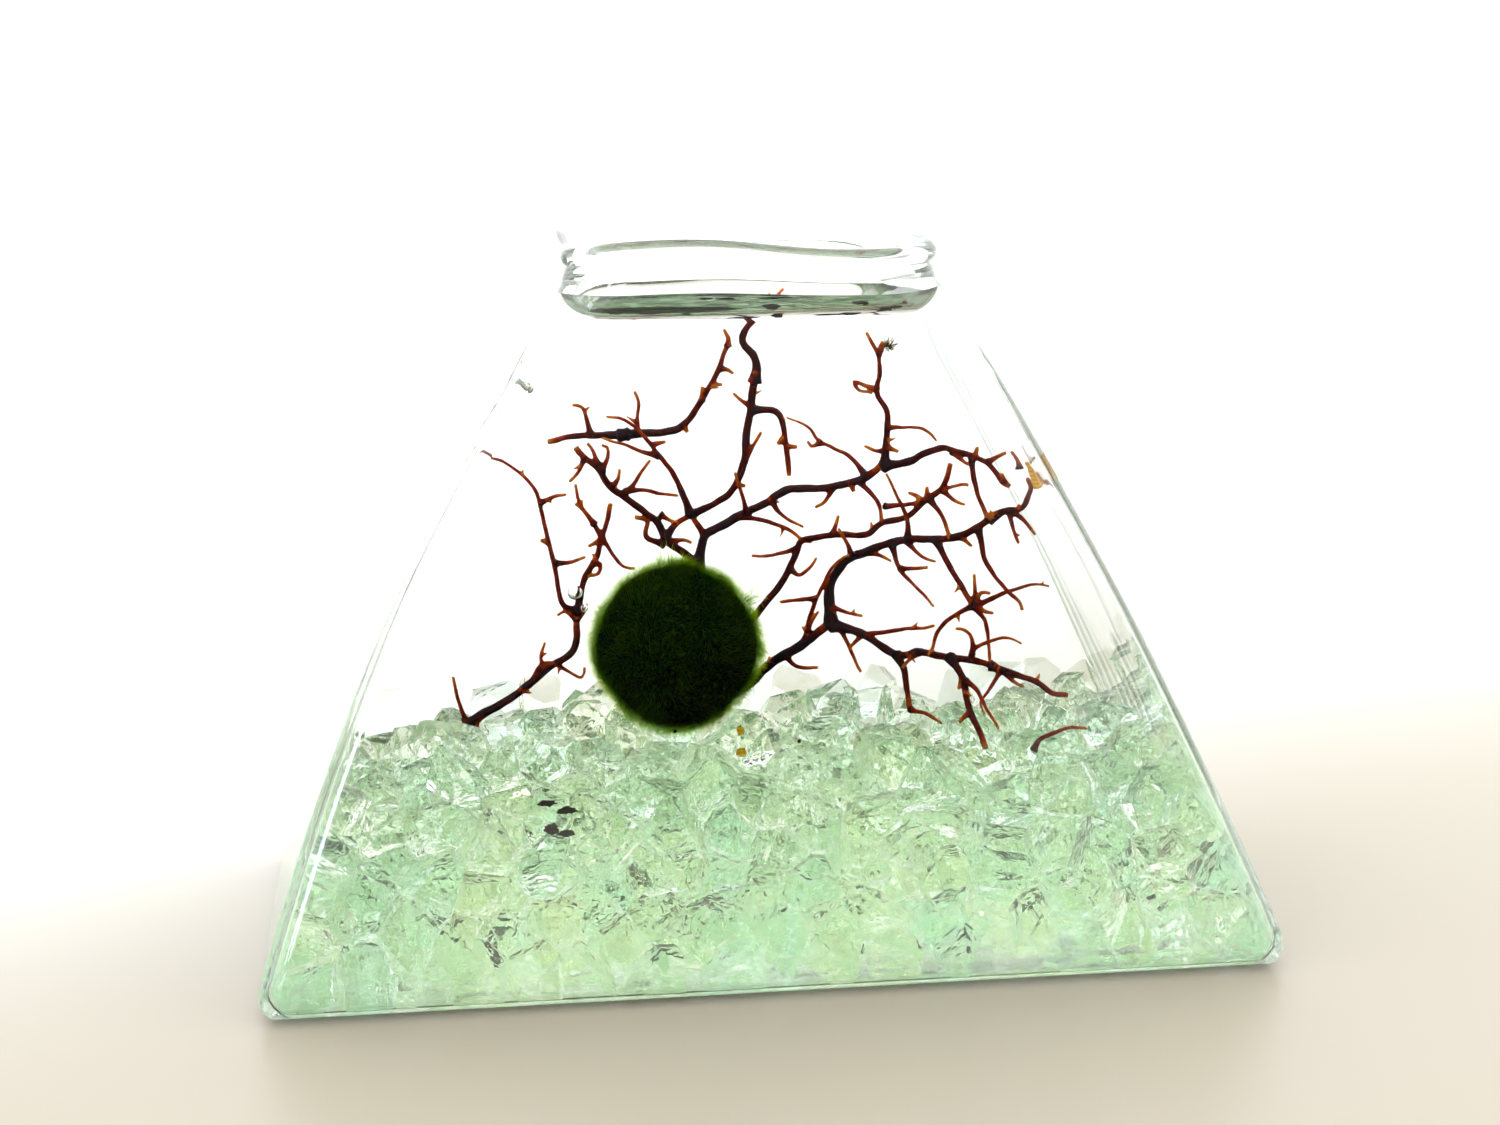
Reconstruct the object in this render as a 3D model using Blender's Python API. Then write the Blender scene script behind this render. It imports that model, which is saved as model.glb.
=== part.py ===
"""Marimo moss ball in its small glass water bowl.

Every dimension below is in millimetres; the scene is in metres, turned by MM.
The origin is under the middle of the base, +Z is up and the broad front face looks toward -Y.
"""
import math
from itertools import product

import bmesh
import bpy
from mathutils import Matrix, Vector, noise

MM = 0.001
GAP = 0.3  # clearance kept between pieces that touch

# The bowl: a hand-formed truncated pyramid, broader than deep, with a rolled lip
BASE_WIDTH = 96.7
BASE_DEPTH = 56.0
NECK_WIDTH = 33.0
NECK_DEPTH = 38.0
NECK_HEIGHT = 66.0
SWELL = 2.4  # how far the left and right sides bow out half way up
FACE_SWELL = 0.3  # and the front and rear
LEAN = 0.85  # how far the mouth's middle is left of the base's
LEAN_BOW = 0.8  # and how much farther left the middle is half way up
LEAN_START = 4.0
BODY_CORNER = 2.2
NECK_CORNER = 6.0
CORNER_OPENS = 55.0  # where the upright corners begin to widen toward the round mouth
WALL = 1.3
FLOOR = 1.1
FOOT_ROUND = 3.4
INNER_ROUND = 2.4
TIGHTEST = 0.2  # a corner's radius isn't let below this
WALL_HEIGHTS = (13.0, 25.0, 37.0, 49.0, 60.0)  # where the wall's curve is sampled
SHOULDER = 64.4  # where the wall ends and the lip begins
LIP_HEIGHT = 66.9  # middle of the rolled lip
LIP_THIN = 0.85  # lip's radius at the front and rear
LIP_THICK = 1.25  # and at the two ends
LIP_FLARE = 0.5  # lip's middle outside the wall's outer face
LIP_WAVE = 0.5
LIP_CREST = math.radians(67.0)
WAVE_START = 61.0

# What fills it
WATER_LEVEL = 60.3
BED_LEVEL = 20.2
BED_LUMPS = 1.7
BED_CELL = 6.0

# The moss ball, measured over the tips of its fibres
BALL_RADIUS = 9.0
BALL_CENTRE = Vector((-7.75, -4.0, 28.6))
BALL_DENT = 0.45
BALL_FLATS = (  # way out of the ball, and how deep and how wide it is flattened there
    (Vector((-0.75, -0.1, -0.66)), 0.50, 0.40),
    (Vector((0.72, -0.1, -0.70)), 0.45, 0.36),
    (Vector((0.78, -0.1, 0.62)), 0.20, 0.30),
    (Vector((-0.80, -0.1, 0.60)), 0.25, 0.30),
)

# The sea fan is drawn as it is seen from the front through glass and water, in pixels of a
# 1500 x 1125 frame. These values turn a pixel and a depth into a point inside the bowl.
EYE = Vector((-31.95, -242.5, 77.1))
FRAME_CENTRE = (750.0, 562.5)
FOCUS = 2500.0  # pixels
EYE_TURN = math.radians(-7.67)
EYE_PITCH = math.radians(-9.6)
EYE_ROLL = math.radians(0.65)
WATER_INDEX = 1.333

# Depth of the fan: its left half stands behind the ball, its right half comes forward
FAN_BACK = 6.6
FAN_FRONT = -9.0
FAN_TURN_START = 740.0
FAN_TURN_END = 1040.0
FAN_STEP = 3.3  # spacing of the points along a branch
FORK_TRIM = 0.95  # a branch that is its own piece starts this far from its fork
WALL_CLEARANCE = 0.5
BURIED_TOP = 24.0  # branches that reach lower than this need room in the bed
TWIG_BASE = 0.20
TWIG_TIP = 0.12
STOUT = 0.32  # branches thicker than this have six sides, thinner ones four
ROOM_FLATNESS = math.radians(9.0)

COLOURS = {
    "glass": (0.86, 0.95, 0.91),
    "water": (0.93, 0.98, 0.97),
    "chips": (0.52, 0.76, 0.62),
    "moss": (0.045, 0.12, 0.012),
    "fan": (0.16, 0.045, 0.03),
}


# ---------------------------------------------------------------- scene and materials

def clear_scene():
    for obj in list(bpy.data.objects):
        bpy.data.objects.remove(obj, do_unlink=True)


def new_collection(name):
    group = bpy.data.collections.new(name)
    bpy.context.scene.collection.children.link(group)
    return group


def make_material(name, colour, roughness, transmission=0.0, index=1.45):
    material = bpy.data.materials.new(name)
    material.use_nodes = True
    shader = material.node_tree.nodes["Principled BSDF"]
    shader.inputs["Base Color"].default_value = (*colour, 1.0)
    shader.inputs["Metallic"].default_value = 0.0
    shader.inputs["Roughness"].default_value = roughness
    shader.inputs["Transmission Weight"].default_value = transmission
    shader.inputs["IOR"].default_value = index
    return material


# ---------------------------------------------------------------- mesh helpers

def object_from_bmesh(name, bm, group):
    bmesh.ops.recalc_face_normals(bm, faces=bm.faces)
    mesh = bpy.data.meshes.new(name)
    bm.to_mesh(mesh)
    bm.free()
    obj = bpy.data.objects.new(name, mesh)
    group.objects.link(obj)
    return obj


def evaluated_mesh(obj):
    """A plain mesh of what the object's modifiers or curve settings give."""
    depsgraph = bpy.context.evaluated_depsgraph_get()
    return bpy.data.meshes.new_from_object(obj.evaluated_get(depsgraph))


def combine(obj, tools, operation):
    """Boolean of the object with all the tools at once; the tools are used up."""
    group = new_collection("tools")
    for tool in tools:
        for owner in list(tool.users_collection):
            owner.objects.unlink(tool)
        group.objects.link(tool)
    modifier = obj.modifiers.new("combine", "BOOLEAN")
    modifier.operand_type = "COLLECTION"
    modifier.collection = group
    modifier.operation = operation
    modifier.solver = "EXACT"
    result = evaluated_mesh(obj)
    obj.modifiers.clear()
    obj.data = result
    for tool in tools:
        bpy.data.objects.remove(tool, do_unlink=True)
    bpy.data.collections.remove(group)


def keep_largest_shell(obj):
    """Drop the crumbs that a Boolean leaves, and make the faces triangles."""
    bm = bmesh.new()
    bm.from_mesh(obj.data)
    remaining = set(bm.verts)
    shells = []
    while remaining:
        shell = {remaining.pop()}
        front = list(shell)
        while front:
            vert = front.pop()
            for edge in vert.link_edges:
                other = edge.other_vert(vert)
                if other in remaining:
                    remaining.discard(other)
                    shell.add(other)
                    front.append(other)
        shells.append(shell)
    shells.sort(key=len)
    for shell in shells[:-1]:
        bmesh.ops.delete(bm, geom=list(shell), context="VERTS")
    bmesh.ops.triangulate(bm, faces=bm.faces)
    bm.to_mesh(obj.data)
    bm.free()


# ---------------------------------------------------------------- the bowl's shape

def outer_half(z):
    """Half width and half depth of the bowl's outer face at a height."""
    part = z / NECK_HEIGHT
    bow = math.sin(math.pi * part)
    half_x = (BASE_WIDTH + (NECK_WIDTH - BASE_WIDTH) * part) / 2 + SWELL * bow
    half_y = (BASE_DEPTH + (NECK_DEPTH - BASE_DEPTH) * part) / 2 + FACE_SWELL * bow
    return half_x, half_y


def middle_x(z):
    """Middle of the bowl at a height: the hand-formed bowl leans a little to the left."""
    part = max(z - LEAN_START, 0.0) / (NECK_HEIGHT - LEAN_START)
    return -LEAN * part - LEAN_BOW * math.sin(math.pi * part)


def corner_radius(z):
    """Radius of the upright corners: tight in the body, open at the mouth."""
    part = min(max((z - CORNER_OPENS) / (NECK_HEIGHT - CORNER_OPENS), 0.0), 1.0)
    return BODY_CORNER + (NECK_CORNER - BODY_CORNER) * part * part * (3 - 2 * part)


def lip_wave(point):
    """The lip's slow unevenness around the mouth."""
    angle = math.atan2(point.y, point.x)
    wave = math.cos(4 * (angle - LIP_CREST)) + 0.35 * math.sin(3 * angle + 0.4)
    rise = min(max((point.z - WAVE_START) / (LIP_HEIGHT - WAVE_START), 0.0), 1.0)
    return LIP_WAVE * wave * rise


def rounded_ring(half_x, half_y, radius, z, corner_steps=4, side_points=2):
    """Points around a rectangle with round corners, with a few along each side."""
    ring = []
    for quarter in range(4):
        angle0 = quarter * math.pi / 2
        sign_x = 1 if quarter in (0, 3) else -1
        sign_y = 1 if quarter in (0, 1) else -1
        centre_x = middle_x(z) + sign_x * (half_x - radius)
        centre = Vector((centre_x, sign_y * (half_y - radius), z))
        arc = []
        for step in range(corner_steps + 1):
            angle = angle0 + math.pi / 2 * step / corner_steps
            arc.append(centre + radius * Vector((math.cos(angle), math.sin(angle), 0)))
        if ring:
            ring += between(ring[-1], arc[0], side_points)
        ring += arc
    ring += between(ring[-1], ring[0], side_points)
    for point in ring:
        point.z += lip_wave(point)
    return ring


def between(start, end, count):
    return [start.lerp(end, (i + 1) / (count + 1)) for i in range(count)]


def loft(name, rings, group):
    """Closed solid through rings that have equal point counts, with flat ends."""
    bm = bmesh.new()
    layers = [[bm.verts.new(point * MM) for point in ring] for ring in rings]
    for lower, upper in zip(layers, layers[1:]):
        count = len(lower)
        for i in range(count):
            j = (i + 1) % count
            bm.faces.new((lower[i], lower[j], upper[j], upper[i]))
    bm.faces.new(layers[0])
    bm.faces.new(layers[-1])
    return object_from_bmesh(name, bm, group)


def wall_ring(z, inset):
    """Ring that lies a given distance inside the outer face."""
    half_x, half_y = outer_half(z)
    radius = max(corner_radius(z) - inset, TIGHTEST)
    return rounded_ring(half_x - inset, half_y - inset, radius, z)


def quarter_round(radius, steps):
    """Inset and rise of the points along a quarter circle, from its flat end."""
    points = []
    for step in range(steps + 1):
        angle = math.pi / 2 * step / steps
        points.append((radius * (1 - math.sin(angle)), radius * (1 - math.cos(angle))))
    return points


def lip_ring(angle):
    """One ring of the rolled lip, which is thicker at the mouth's two ends."""
    neck_x, neck_y = outer_half(LIP_HEIGHT)
    rings = []
    for reach in (LIP_FLARE, LIP_FLARE + 1.0):
        rings.append(rounded_ring(neck_x + reach, neck_y + reach, NECK_CORNER + reach, LIP_HEIGHT))
    ring = []
    for point, outer in zip(*rings):
        way = Vector((outer.x - point.x, outer.y - point.y, 0.0))
        radius = lip_radius(point)
        rise = Vector((0.0, 0.0, radius * math.sin(angle)))
        ring.append(point + way * (radius * math.cos(angle)) + rise)
    return ring


def lip_radius(point):
    side = math.cos(math.atan2(point.y, point.x)) ** 2
    return LIP_THIN + (LIP_THICK - LIP_THIN) * side


def build_bowl(group):
    rings = [wall_ring(rise, inset) for inset, rise in quarter_round(FOOT_ROUND, 4)]
    rings += [wall_ring(z, 0.0) for z in (*WALL_HEIGHTS, SHOULDER)]
    rings += [lip_ring(math.radians(degrees)) for degrees in range(-60, 211, 30)]
    rings += [wall_ring(z, WALL) for z in (SHOULDER, *reversed(WALL_HEIGHTS))]
    inner_foot = [wall_ring(FLOOR + rise, WALL + inset)
                  for inset, rise in quarter_round(INNER_ROUND, 3)]
    rings += reversed(inner_foot)
    return loft("glass_bowl", rings, group)


def cavity(name, top, group):
    """What fits inside the bowl up to a height, clear of the glass."""
    inset = WALL + GAP
    rings = [wall_ring(FLOOR + GAP + rise, inset + side)
             for side, rise in quarter_round(INNER_ROUND, 3)]
    heights = [z for z in WALL_HEIGHTS if z < top]
    rings += [wall_ring(z, inset) for z in heights + [top]]
    return loft(name, rings, group)


# ---------------------------------------------------------------- chip bed and water

def bed_height(x, y):
    """Uneven top of the crushed-glass bed, in mm."""
    broad = noise.noise(Vector((x / 13.0, y / 13.0, 3.7)))
    fine = noise.noise(Vector((x / 4.1, y / 4.1, 9.2)))
    return BED_LEVEL + BED_LUMPS * (0.6 * broad + 0.9 * fine)


def bed_surface_block(name, lift, far_z, group):
    """Block whose one side is the bed's top, raised by lift, and whose other side is flat."""
    width = BASE_WIDTH + 8.0
    depth = BASE_DEPTH + 8.0
    bm = bmesh.new()
    bmesh.ops.create_grid(bm, x_segments=round(width / BED_CELL),
                          y_segments=round(depth / BED_CELL), size=0.5)
    for vert in bm.verts:
        x = vert.co.x * width
        y = vert.co.y * depth
        vert.co = Vector((x, y, bed_height(x, y) + lift)) * MM
    bmesh.ops.triangulate(bm, faces=bm.faces)
    grown = bmesh.ops.extrude_face_region(bm, geom=list(bm.faces))
    for item in grown["geom"]:
        if isinstance(item, bmesh.types.BMVert):
            item.co.z = far_z * MM
    return object_from_bmesh(name, bm, group)


def ball_tool(group):
    """Room that the moss ball takes in the water and the bed."""
    bm = bmesh.new()
    bmesh.ops.create_icosphere(bm, subdivisions=3, radius=(BALL_RADIUS + 2 * GAP) * MM)
    bmesh.ops.translate(bm, verts=bm.verts, vec=BALL_CENTRE * MM)
    return object_from_bmesh("ball_tool", bm, group)


def build_bed(group, work):
    bed = cavity("glass_chip_bed", 32.0, group)
    block = bed_surface_block("bed_block", 0.0, -5.0, work)
    combine(bed, [block], "INTERSECT")
    tools = [ball_tool(work)]
    for pieces in SEA_FAN.values():
        for branch in pieces:
            points, radii = branch_line(branch)
            if min(point.z for point in points) < BURIED_TOP:
                roomy = [(radius + GAP) / math.cos(math.pi / 6) for radius in radii]
                tools.append(tube("room", lengthened(points, 2 * GAP), roomy, 6, work))
    combine(bed, tools, "DIFFERENCE")
    keep_largest_shell(bed)
    return bed


def build_water(group, work):
    water = cavity("water", WATER_LEVEL, group)
    block = bed_surface_block("water_block", GAP, 90.0, work)
    combine(water, [block], "INTERSECT")
    tools = [ball_tool(work)]
    for names in FAN_ROOMS:
        branches = [branch for name in names for branch in SEA_FAN["sea_fan_" + name]]
        tools.append(fan_room(branches, work))
    combine(water, tools, "DIFFERENCE")
    keep_largest_shell(water)
    return water


# ---------------------------------------------------------------- the moss ball

def ball_radius(way):
    """Radius over the tips of the fibres in a direction; the ball is uneven."""
    radius = BALL_RADIUS - BALL_DENT * (0.5 + 0.5 * noise.noise(way * BALL_RADIUS / 5.0))
    for flat, depth, width in BALL_FLATS:
        radius -= depth * math.exp(-(way.angle(flat) / width) ** 2)
    return radius


def build_ball(group):
    bm = bmesh.new()
    bmesh.ops.create_uvsphere(bm, u_segments=24, v_segments=13, radius=BALL_RADIUS)
    for vert in bm.verts:
        way = vert.co.normalized()
        vert.co = (BALL_CENTRE + way * ball_radius(way)) * MM
    return object_from_bmesh("marimo_moss_ball", bm, group)


# ---------------------------------------------------------------- the sea fan

def limb(base, tip, pixels, shift=(0.0, 0.0), trim=0.0):
    """A branch: radius in mm at both ends, its route in pixels, and its depth shift in mm."""
    return {"radii": (base, tip), "pixels": pixels, "shift": shift, "trim": trim}


def twig(*pixels, shift=(0.0, 0.0)):
    return limb(TWIG_BASE, TWIG_TIP, pixels, shift)


SEA_FAN = {
    "sea_fan_left_stem": [
        limb(0.46, 0.36, [(464, 726), (484, 713), (511, 699), (545, 672), (574, 650), (577, 618)]),
        twig((466, 723), (459, 705), (452, 677)),
        twig((486, 712), (477, 721), (479, 731)),
        twig((543, 673), (541, 657), (546, 642)),
        twig((533, 682), (540, 667), (553, 665), (568, 672), (583, 678), (585, 668)),
        twig((577, 620), (566, 612), (558, 616)),
        twig((577, 620), (585, 611), (588, 603)),
    ],
    "sea_fan_left_outer_branch": [
        limb(0.30, 0.16, [(576, 612), (563, 602), (555, 565), (547, 534), (539, 498), (526, 478),
                          (505, 463), (484, 459)], trim=FORK_TRIM),
        twig((540, 503), (555, 496), (567, 494)),
        twig((556, 562), (571, 561), (585, 556)),
        twig((548, 541), (540, 539)),
    ],
    "sea_fan_left_inner_branch": [
        limb(0.36, 0.26, [(578, 614), (582, 591), (586, 573), (597, 555), (601, 537), (605, 523),
                          (610, 503)], trim=FORK_TRIM),
        twig((601, 537), (590, 520), (579, 502), (575, 484)),
        twig((601, 537), (612, 553), (624, 566), (635, 568)),
        twig((593, 525), (582, 510), (575, 504)),
        twig((600, 540), (588, 546)),
        twig((591, 563), (600, 563), (598, 572), (589, 574)),
    ],
    "sea_fan_root_stem": [
        limb(0.58, 0.50, [(733, 710), (729, 692), (720, 660), (706, 615), (698, 574)]),
    ],
    "sea_fan_upper_left_limb": [
        limb(0.42, 0.32, [(697, 566), (688, 556), (665, 540), (657, 523), (641, 510), (620, 495),
                          (607, 484), (597, 469), (582, 457), (575, 448)], trim=FORK_TRIM),
        limb(0.30, 0.24, [(665, 545), (646, 537), (647, 521), (634, 517)]),
        limb(0.34, 0.30, [(664, 538), (675, 525), (684, 519)]),
        twig((583, 458), (579, 470), (569, 481)),
        twig((598, 466), (592, 453), (586, 444)),
        twig((601, 472), (607, 458), (606, 448), (600, 446)),
        twig((620, 495), (632, 486), (639, 475), (649, 461)),
        twig((623, 492), (644, 491), (660, 494), (678, 496)),
        twig((612, 487), (618, 478), (619, 469)),
        twig((659, 514), (668, 520), (676, 523)),
        twig((668, 542), (684, 541), (692, 544)),
    ],
    "sea_fan_upper_left_arm": [
        limb(0.42, 0.26, [(628, 435), (600, 436), (572, 438), (547, 443)]),
        limb(0.44, 0.26, [(616, 436), (662, 433), (683, 427), (701, 403), (714, 380), (724, 356),
                          (730, 346)]),
        twig((728, 349), (728, 340), (724, 331)),
        twig((589, 435), (585, 418), (580, 408), (571, 406)),
        twig((636, 434), (637, 419), (639, 405), (634, 393)),
        twig((702, 403), (703, 387)),
        twig((719, 369), (728, 371), (733, 375)),
        twig((711, 385), (723, 385)),
        twig((684, 427), (688, 433)),
    ],
    "sea_fan_diagonal_branch": [
        limb(0.34, 0.16, [(690, 515), (683, 497), (673, 476), (657, 455), (641, 435), (623, 420),
                          (605, 418)], (-0.4, -2.2), FORK_TRIM),
        limb(0.26, 0.14, [(658, 457), (639, 452), (623, 445), (600, 438)], (-1.4, -1.6)),
        twig((650, 447), (658, 444), (665, 442), shift=(-1.6, -1.9)),
    ],
    "sea_fan_middle_riser": [
        limb(0.36, 0.42, [(690, 515), (717, 502), (733, 489), (743, 466), (747, 435), (751, 406),
                          (756, 374)], trim=0.5),
        limb(0.45, 0.34, [(755, 384), (756, 370), (752, 356), (742, 344), (746, 330), (758, 316)]),
        limb(0.26, 0.18, [(752, 321), (774, 301), (792, 284)]),
        limb(0.34, 0.28, [(751, 411), (775, 412), (782, 427), (786, 453), (789, 476)]),
        twig((751, 407), (741, 401), (733, 393)),
        twig((744, 461), (753, 446), (761, 432)),
        twig((784, 441), (776, 444)),
        twig((785, 447), (796, 447)),
        twig((736, 485), (746, 486)),
    ],
    "sea_fan_middle_limb": [
        limb(0.48, 0.40, [(699, 566), (704, 539), (714, 531), (743, 513), (767, 502), (790, 489),
                          (824, 488), (858, 481), (872, 473), (880, 466)], trim=FORK_TRIM),
        limb(0.32, 0.28, [(705, 540), (699, 530), (692, 523)]),
        limb(0.27, 0.20, [(736, 517), (760, 520), (783, 527), (795, 536)]),
        limb(0.28, 0.14, [(866, 477), (847, 455), (819, 441), (807, 427), (785, 417)]),
        limb(0.27, 0.22, [(858, 481), (877, 502), (880, 515)]),
        twig((745, 512), (741, 492), (734, 471), shift=(-0.3, -1.8)),
        twig((772, 500), (777, 510), (790, 521), (803, 527)),
        twig((821, 442), (810, 446), (806, 441)),
        twig((833, 487), (824, 501), (814, 507)),
        twig((850, 483), (853, 492)),
    ],
    "sea_fan_right_riser": [
        limb(0.38, 0.20, [(884, 465), (887, 432), (886, 410), (877, 393), (880, 370), (877, 354),
                          (866, 334)], trim=FORK_TRIM),
        limb(0.22, 0.16, [(887, 428), (914, 428), (928, 433), (936, 442)]),
        twig((878, 391), (865, 387), (854, 382), (858, 391), (872, 394)),
        twig((878, 356), (884, 347), (891, 347)),
        twig((880, 352), (882, 342)),
        twig((887, 450), (874, 451), (863, 447)),
        twig((887, 446), (898, 452)),
    ],
    "sea_fan_right_crown": [
        limb(0.42, 0.26, [(883, 466), (908, 463), (925, 455), (942, 449), (953, 451), (987, 463),
                          (1004, 483), (1010, 486)], trim=FORK_TRIM),
        limb(0.28, 0.24, [(972, 458), (973, 475), (977, 494), (984, 508)]),
        twig((952, 452), (962, 461), (968, 466)),
        twig((988, 463), (996, 459), (1005, 454)),
        twig((974, 459), (977, 448)),
        twig((1004, 482), (1002, 473)),
    ],
    "sea_fan_inner_branch": [
        limb(0.40, 0.30, [(716, 650), (740, 633), (757, 615), (782, 581), (796, 553), (802, 541),
                          (835, 536), (866, 535), (882, 524), (908, 516), (925, 502), (942, 488),
                          (948, 474), (951, 464)], trim=1.6),
        limb(0.25, 0.18, [(884, 506), (914, 504), (936, 493), (960, 485), (968, 486)]),
        limb(0.26, 0.22, [(930, 499), (941, 514), (945, 526)]),
        twig((797, 549), (782, 554), (768, 557), (751, 557)),
        twig((789, 571), (799, 576), (811, 566), (816, 558)),
        twig((832, 536), (835, 526), (838, 516)),
        twig((942, 490), (955, 501), (966, 504)),
        twig((924, 502), (916, 496), (908, 494)),
        twig((928, 499), (928, 486)),
    ],
    "sea_fan_arch_stem": [
        limb(0.52, 0.48, [(730, 690), (750, 681), (769, 665), (796, 648), (819, 631), (826, 626)],
             trim=FORK_TRIM),
        limb(0.28, 0.16, [(804, 641), (811, 610), (821, 589), (829, 572), (846, 557)],
             (0.0, -1.4)),
        twig((785, 655), (797, 666), (818, 668)),
        twig((815, 600), (800, 600), (779, 602), shift=(-0.5, -0.5)),
        twig((806, 630), (817, 612), shift=(-0.2, -0.6)),
    ],
    "sea_fan_arch_limb": [
        limb(0.54, 0.34, [(831, 627), (828, 595), (835, 575), (852, 558), (880, 547), (908, 540),
                          (936, 539), (959, 536), (978, 526), (998, 514)], trim=FORK_TRIM),
        limb(0.37, 0.24, [(988, 520), (1004, 512), (1021, 508), (1029, 491), (1034, 478)]),
        limb(0.85, 0.95, [(1029, 468), (1033, 476), (1037, 487)]),
        limb(0.28, 0.15, [(892, 544), (895, 556), (900, 570), (914, 587), (934, 607)]),
        limb(0.30, 0.14, [(908, 539), (906, 517), (898, 500), (886, 474)], (-0.3, -2.0)),
        twig((1030, 470), (1017, 461), (1009, 453)),
        twig((852, 557), (846, 543), (838, 529), shift=(-1.0, -1.6)),
        twig((829, 606), (848, 613), (862, 617)),
        twig((899, 569), (915, 568), (928, 567)),
        twig((907, 541), (922, 557), (936, 562)),
        twig((870, 552), (881, 556), (892, 562)),
        twig((960, 537), (972, 546)),
        twig((1008, 512), (1013, 530), (1018, 544)),
        twig((1010, 511), (1023, 521), (1034, 535)),
    ],
    "sea_fan_arch_outer_drop": [
        limb(0.30, 0.20, [(977, 528), (980, 538), (984, 556), (992, 572), (1007, 592), (1018, 602),
                          (1021, 611)], trim=FORK_TRIM),
    ],
    "sea_fan_arch_inner_drop": [
        limb(0.32, 0.28, [(936, 539), (948, 564), (962, 589), (973, 606)], trim=FORK_TRIM),
        limb(0.28, 0.14, [(973, 606), (992, 598), (1015, 589), (1032, 584), (1049, 587)],
             (0.0, 2.6)),
        limb(0.26, 0.20, [(973, 606), (950, 617), (936, 634), (933, 643)]),
        limb(0.26, 0.18, [(973, 606), (984, 620), (988, 640), (988, 656)], (0.0, 1.2)),
        twig((974, 603), (974, 588), (974, 574)),
        twig((974, 605), (980, 592), (990, 593)),
        twig((974, 606), (985, 611), (993, 613)),
    ],
    "sea_fan_lower_right_limb": [
        limb(0.46, 0.34, [(831, 625), (861, 634), (894, 654), (920, 652), (948, 657), (973, 660),
                          (998, 668)], trim=FORK_TRIM),
        limb(0.37, 0.26, [(988, 665), (1004, 670), (1020, 675), (1035, 680), (1051, 692), (1068, 695)]),
        limb(0.26, 0.18, [(864, 636), (897, 630), (915, 628), (934, 626)]),
        limb(0.26, 0.14, [(970, 660), (975, 648), (992, 640), (1009, 637), (1022, 643)],
             (0.0, -1.4)),
        limb(0.24, 0.14, [(1000, 669), (987, 692), (980, 702), (984, 714)], (0.0, -3.0)),
        twig((972, 655), (973, 645), (970, 634), (962, 629), (955, 629), shift=(-0.4, -1.0)),
        twig((838, 627), (849, 648), (855, 662), (861, 672)),
        twig((862, 635), (855, 642), (850, 648)),
        twig((918, 653), (908, 660), (901, 668), shift=(-0.2, -1.2)),
        twig((1005, 671), (1012, 680), (1023, 686)),
    ],
    "sea_fan_front_leg": [
        limb(0.36, 0.30, [(895, 653), (902, 668), (905, 685), (909, 709)], (0.0, -1.2), FORK_TRIM),
        twig((909, 708), (925, 712), (941, 723), shift=(-1.2, -3.0)),
    ],
    "sea_fan_right_leg": [
        limb(0.40, 0.30, [(949, 656), (962, 675), (967, 705), (976, 727), (985, 748)],
             (0.0, -6.0), 1.35),
        limb(0.28, 0.16, [(964, 680), (977, 690), (986, 705), (998, 727)], (-2.0, -6.5)),
        twig((969, 712), (963, 716), (957, 722), shift=(-3.5, -4.2)),
        twig((962, 677), (957, 688), shift=(-1.6, -2.2)),
    ],
    "sea_fan_loose_tip": [
        limb(0.40, 0.20, [(1033, 750), (1037, 740), (1048, 734), (1066, 728), (1086, 728)],
             (-6.0, -6.5)),
    ],
}


# Which pieces share one thin room in the water
FAN_ROOMS = (
    ("left_stem", "left_outer_branch", "left_inner_branch"),
    ("root_stem", "arch_stem"),
    ("upper_left_limb", "upper_left_arm", "diagonal_branch"),
    ("middle_riser", "middle_limb"),
    ("right_riser", "right_crown"),
    ("inner_branch",),
    ("arch_limb", "arch_outer_drop", "arch_inner_drop"),
    ("lower_right_limb",),
    ("front_leg",),
    ("right_leg",),
    ("loose_tip",),
)


def refract(direction, normal, index_ratio):
    """Direction of a ray after it enters the denser side of a surface."""
    facing = -direction.dot(normal)
    inner = math.sqrt(1 - index_ratio ** 2 * (1 - facing ** 2))
    return direction * index_ratio + normal * (index_ratio * facing - inner)


def seen_at(pixel, depth):
    """Point in mm that a pixel shows at a depth, looking in through the bowl's front."""
    u = (pixel[0] - FRAME_CENTRE[0]) / FOCUS
    v = (pixel[1] - FRAME_CENTRE[1]) / FOCUS
    turn = (Matrix.Rotation(EYE_TURN, 3, "Z") @ Matrix.Rotation(EYE_PITCH, 3, "X")
            @ Matrix.Rotation(EYE_ROLL, 3, "Y"))
    direction = (turn @ Vector((u, 1.0, -v))).normalized()
    slope = (BASE_DEPTH - NECK_DEPTH) / 2 / NECK_HEIGHT
    normal = Vector((0.0, -1.0, slope)).normalized()
    front = Vector((0.0, -BASE_DEPTH / 2, 0.0))
    reach = (front - EYE).dot(normal) / direction.dot(normal)
    entry = EYE + direction * reach
    inside = refract(direction, normal, 1 / WATER_INDEX)
    return entry + inside * ((depth - entry.y) / inside.y)


def fan_depth(u):
    part = min(max((u - FAN_TURN_START) / (FAN_TURN_END - FAN_TURN_START), 0.0), 1.0)
    return FAN_BACK + (FAN_FRONT - FAN_BACK) * part * part * (3 - 2 * part)


def keep_inside(point, radius):
    """Move a point just clear of the bowl's side walls."""
    half_x, _ = outer_half(point.z)
    limit = half_x - WALL - WALL_CLEARANCE - radius
    middle = middle_x(point.z)
    return Vector((min(max(point.x, middle - limit), middle + limit), point.y, point.z))


def catmull_rom(a, b, c, d, t):
    return 0.5 * (2 * b + (c - a) * t + (2 * a - 5 * b + 4 * c - d) * t ** 2
                  + (3 * b - a - 3 * c + d) * t ** 3)


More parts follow.
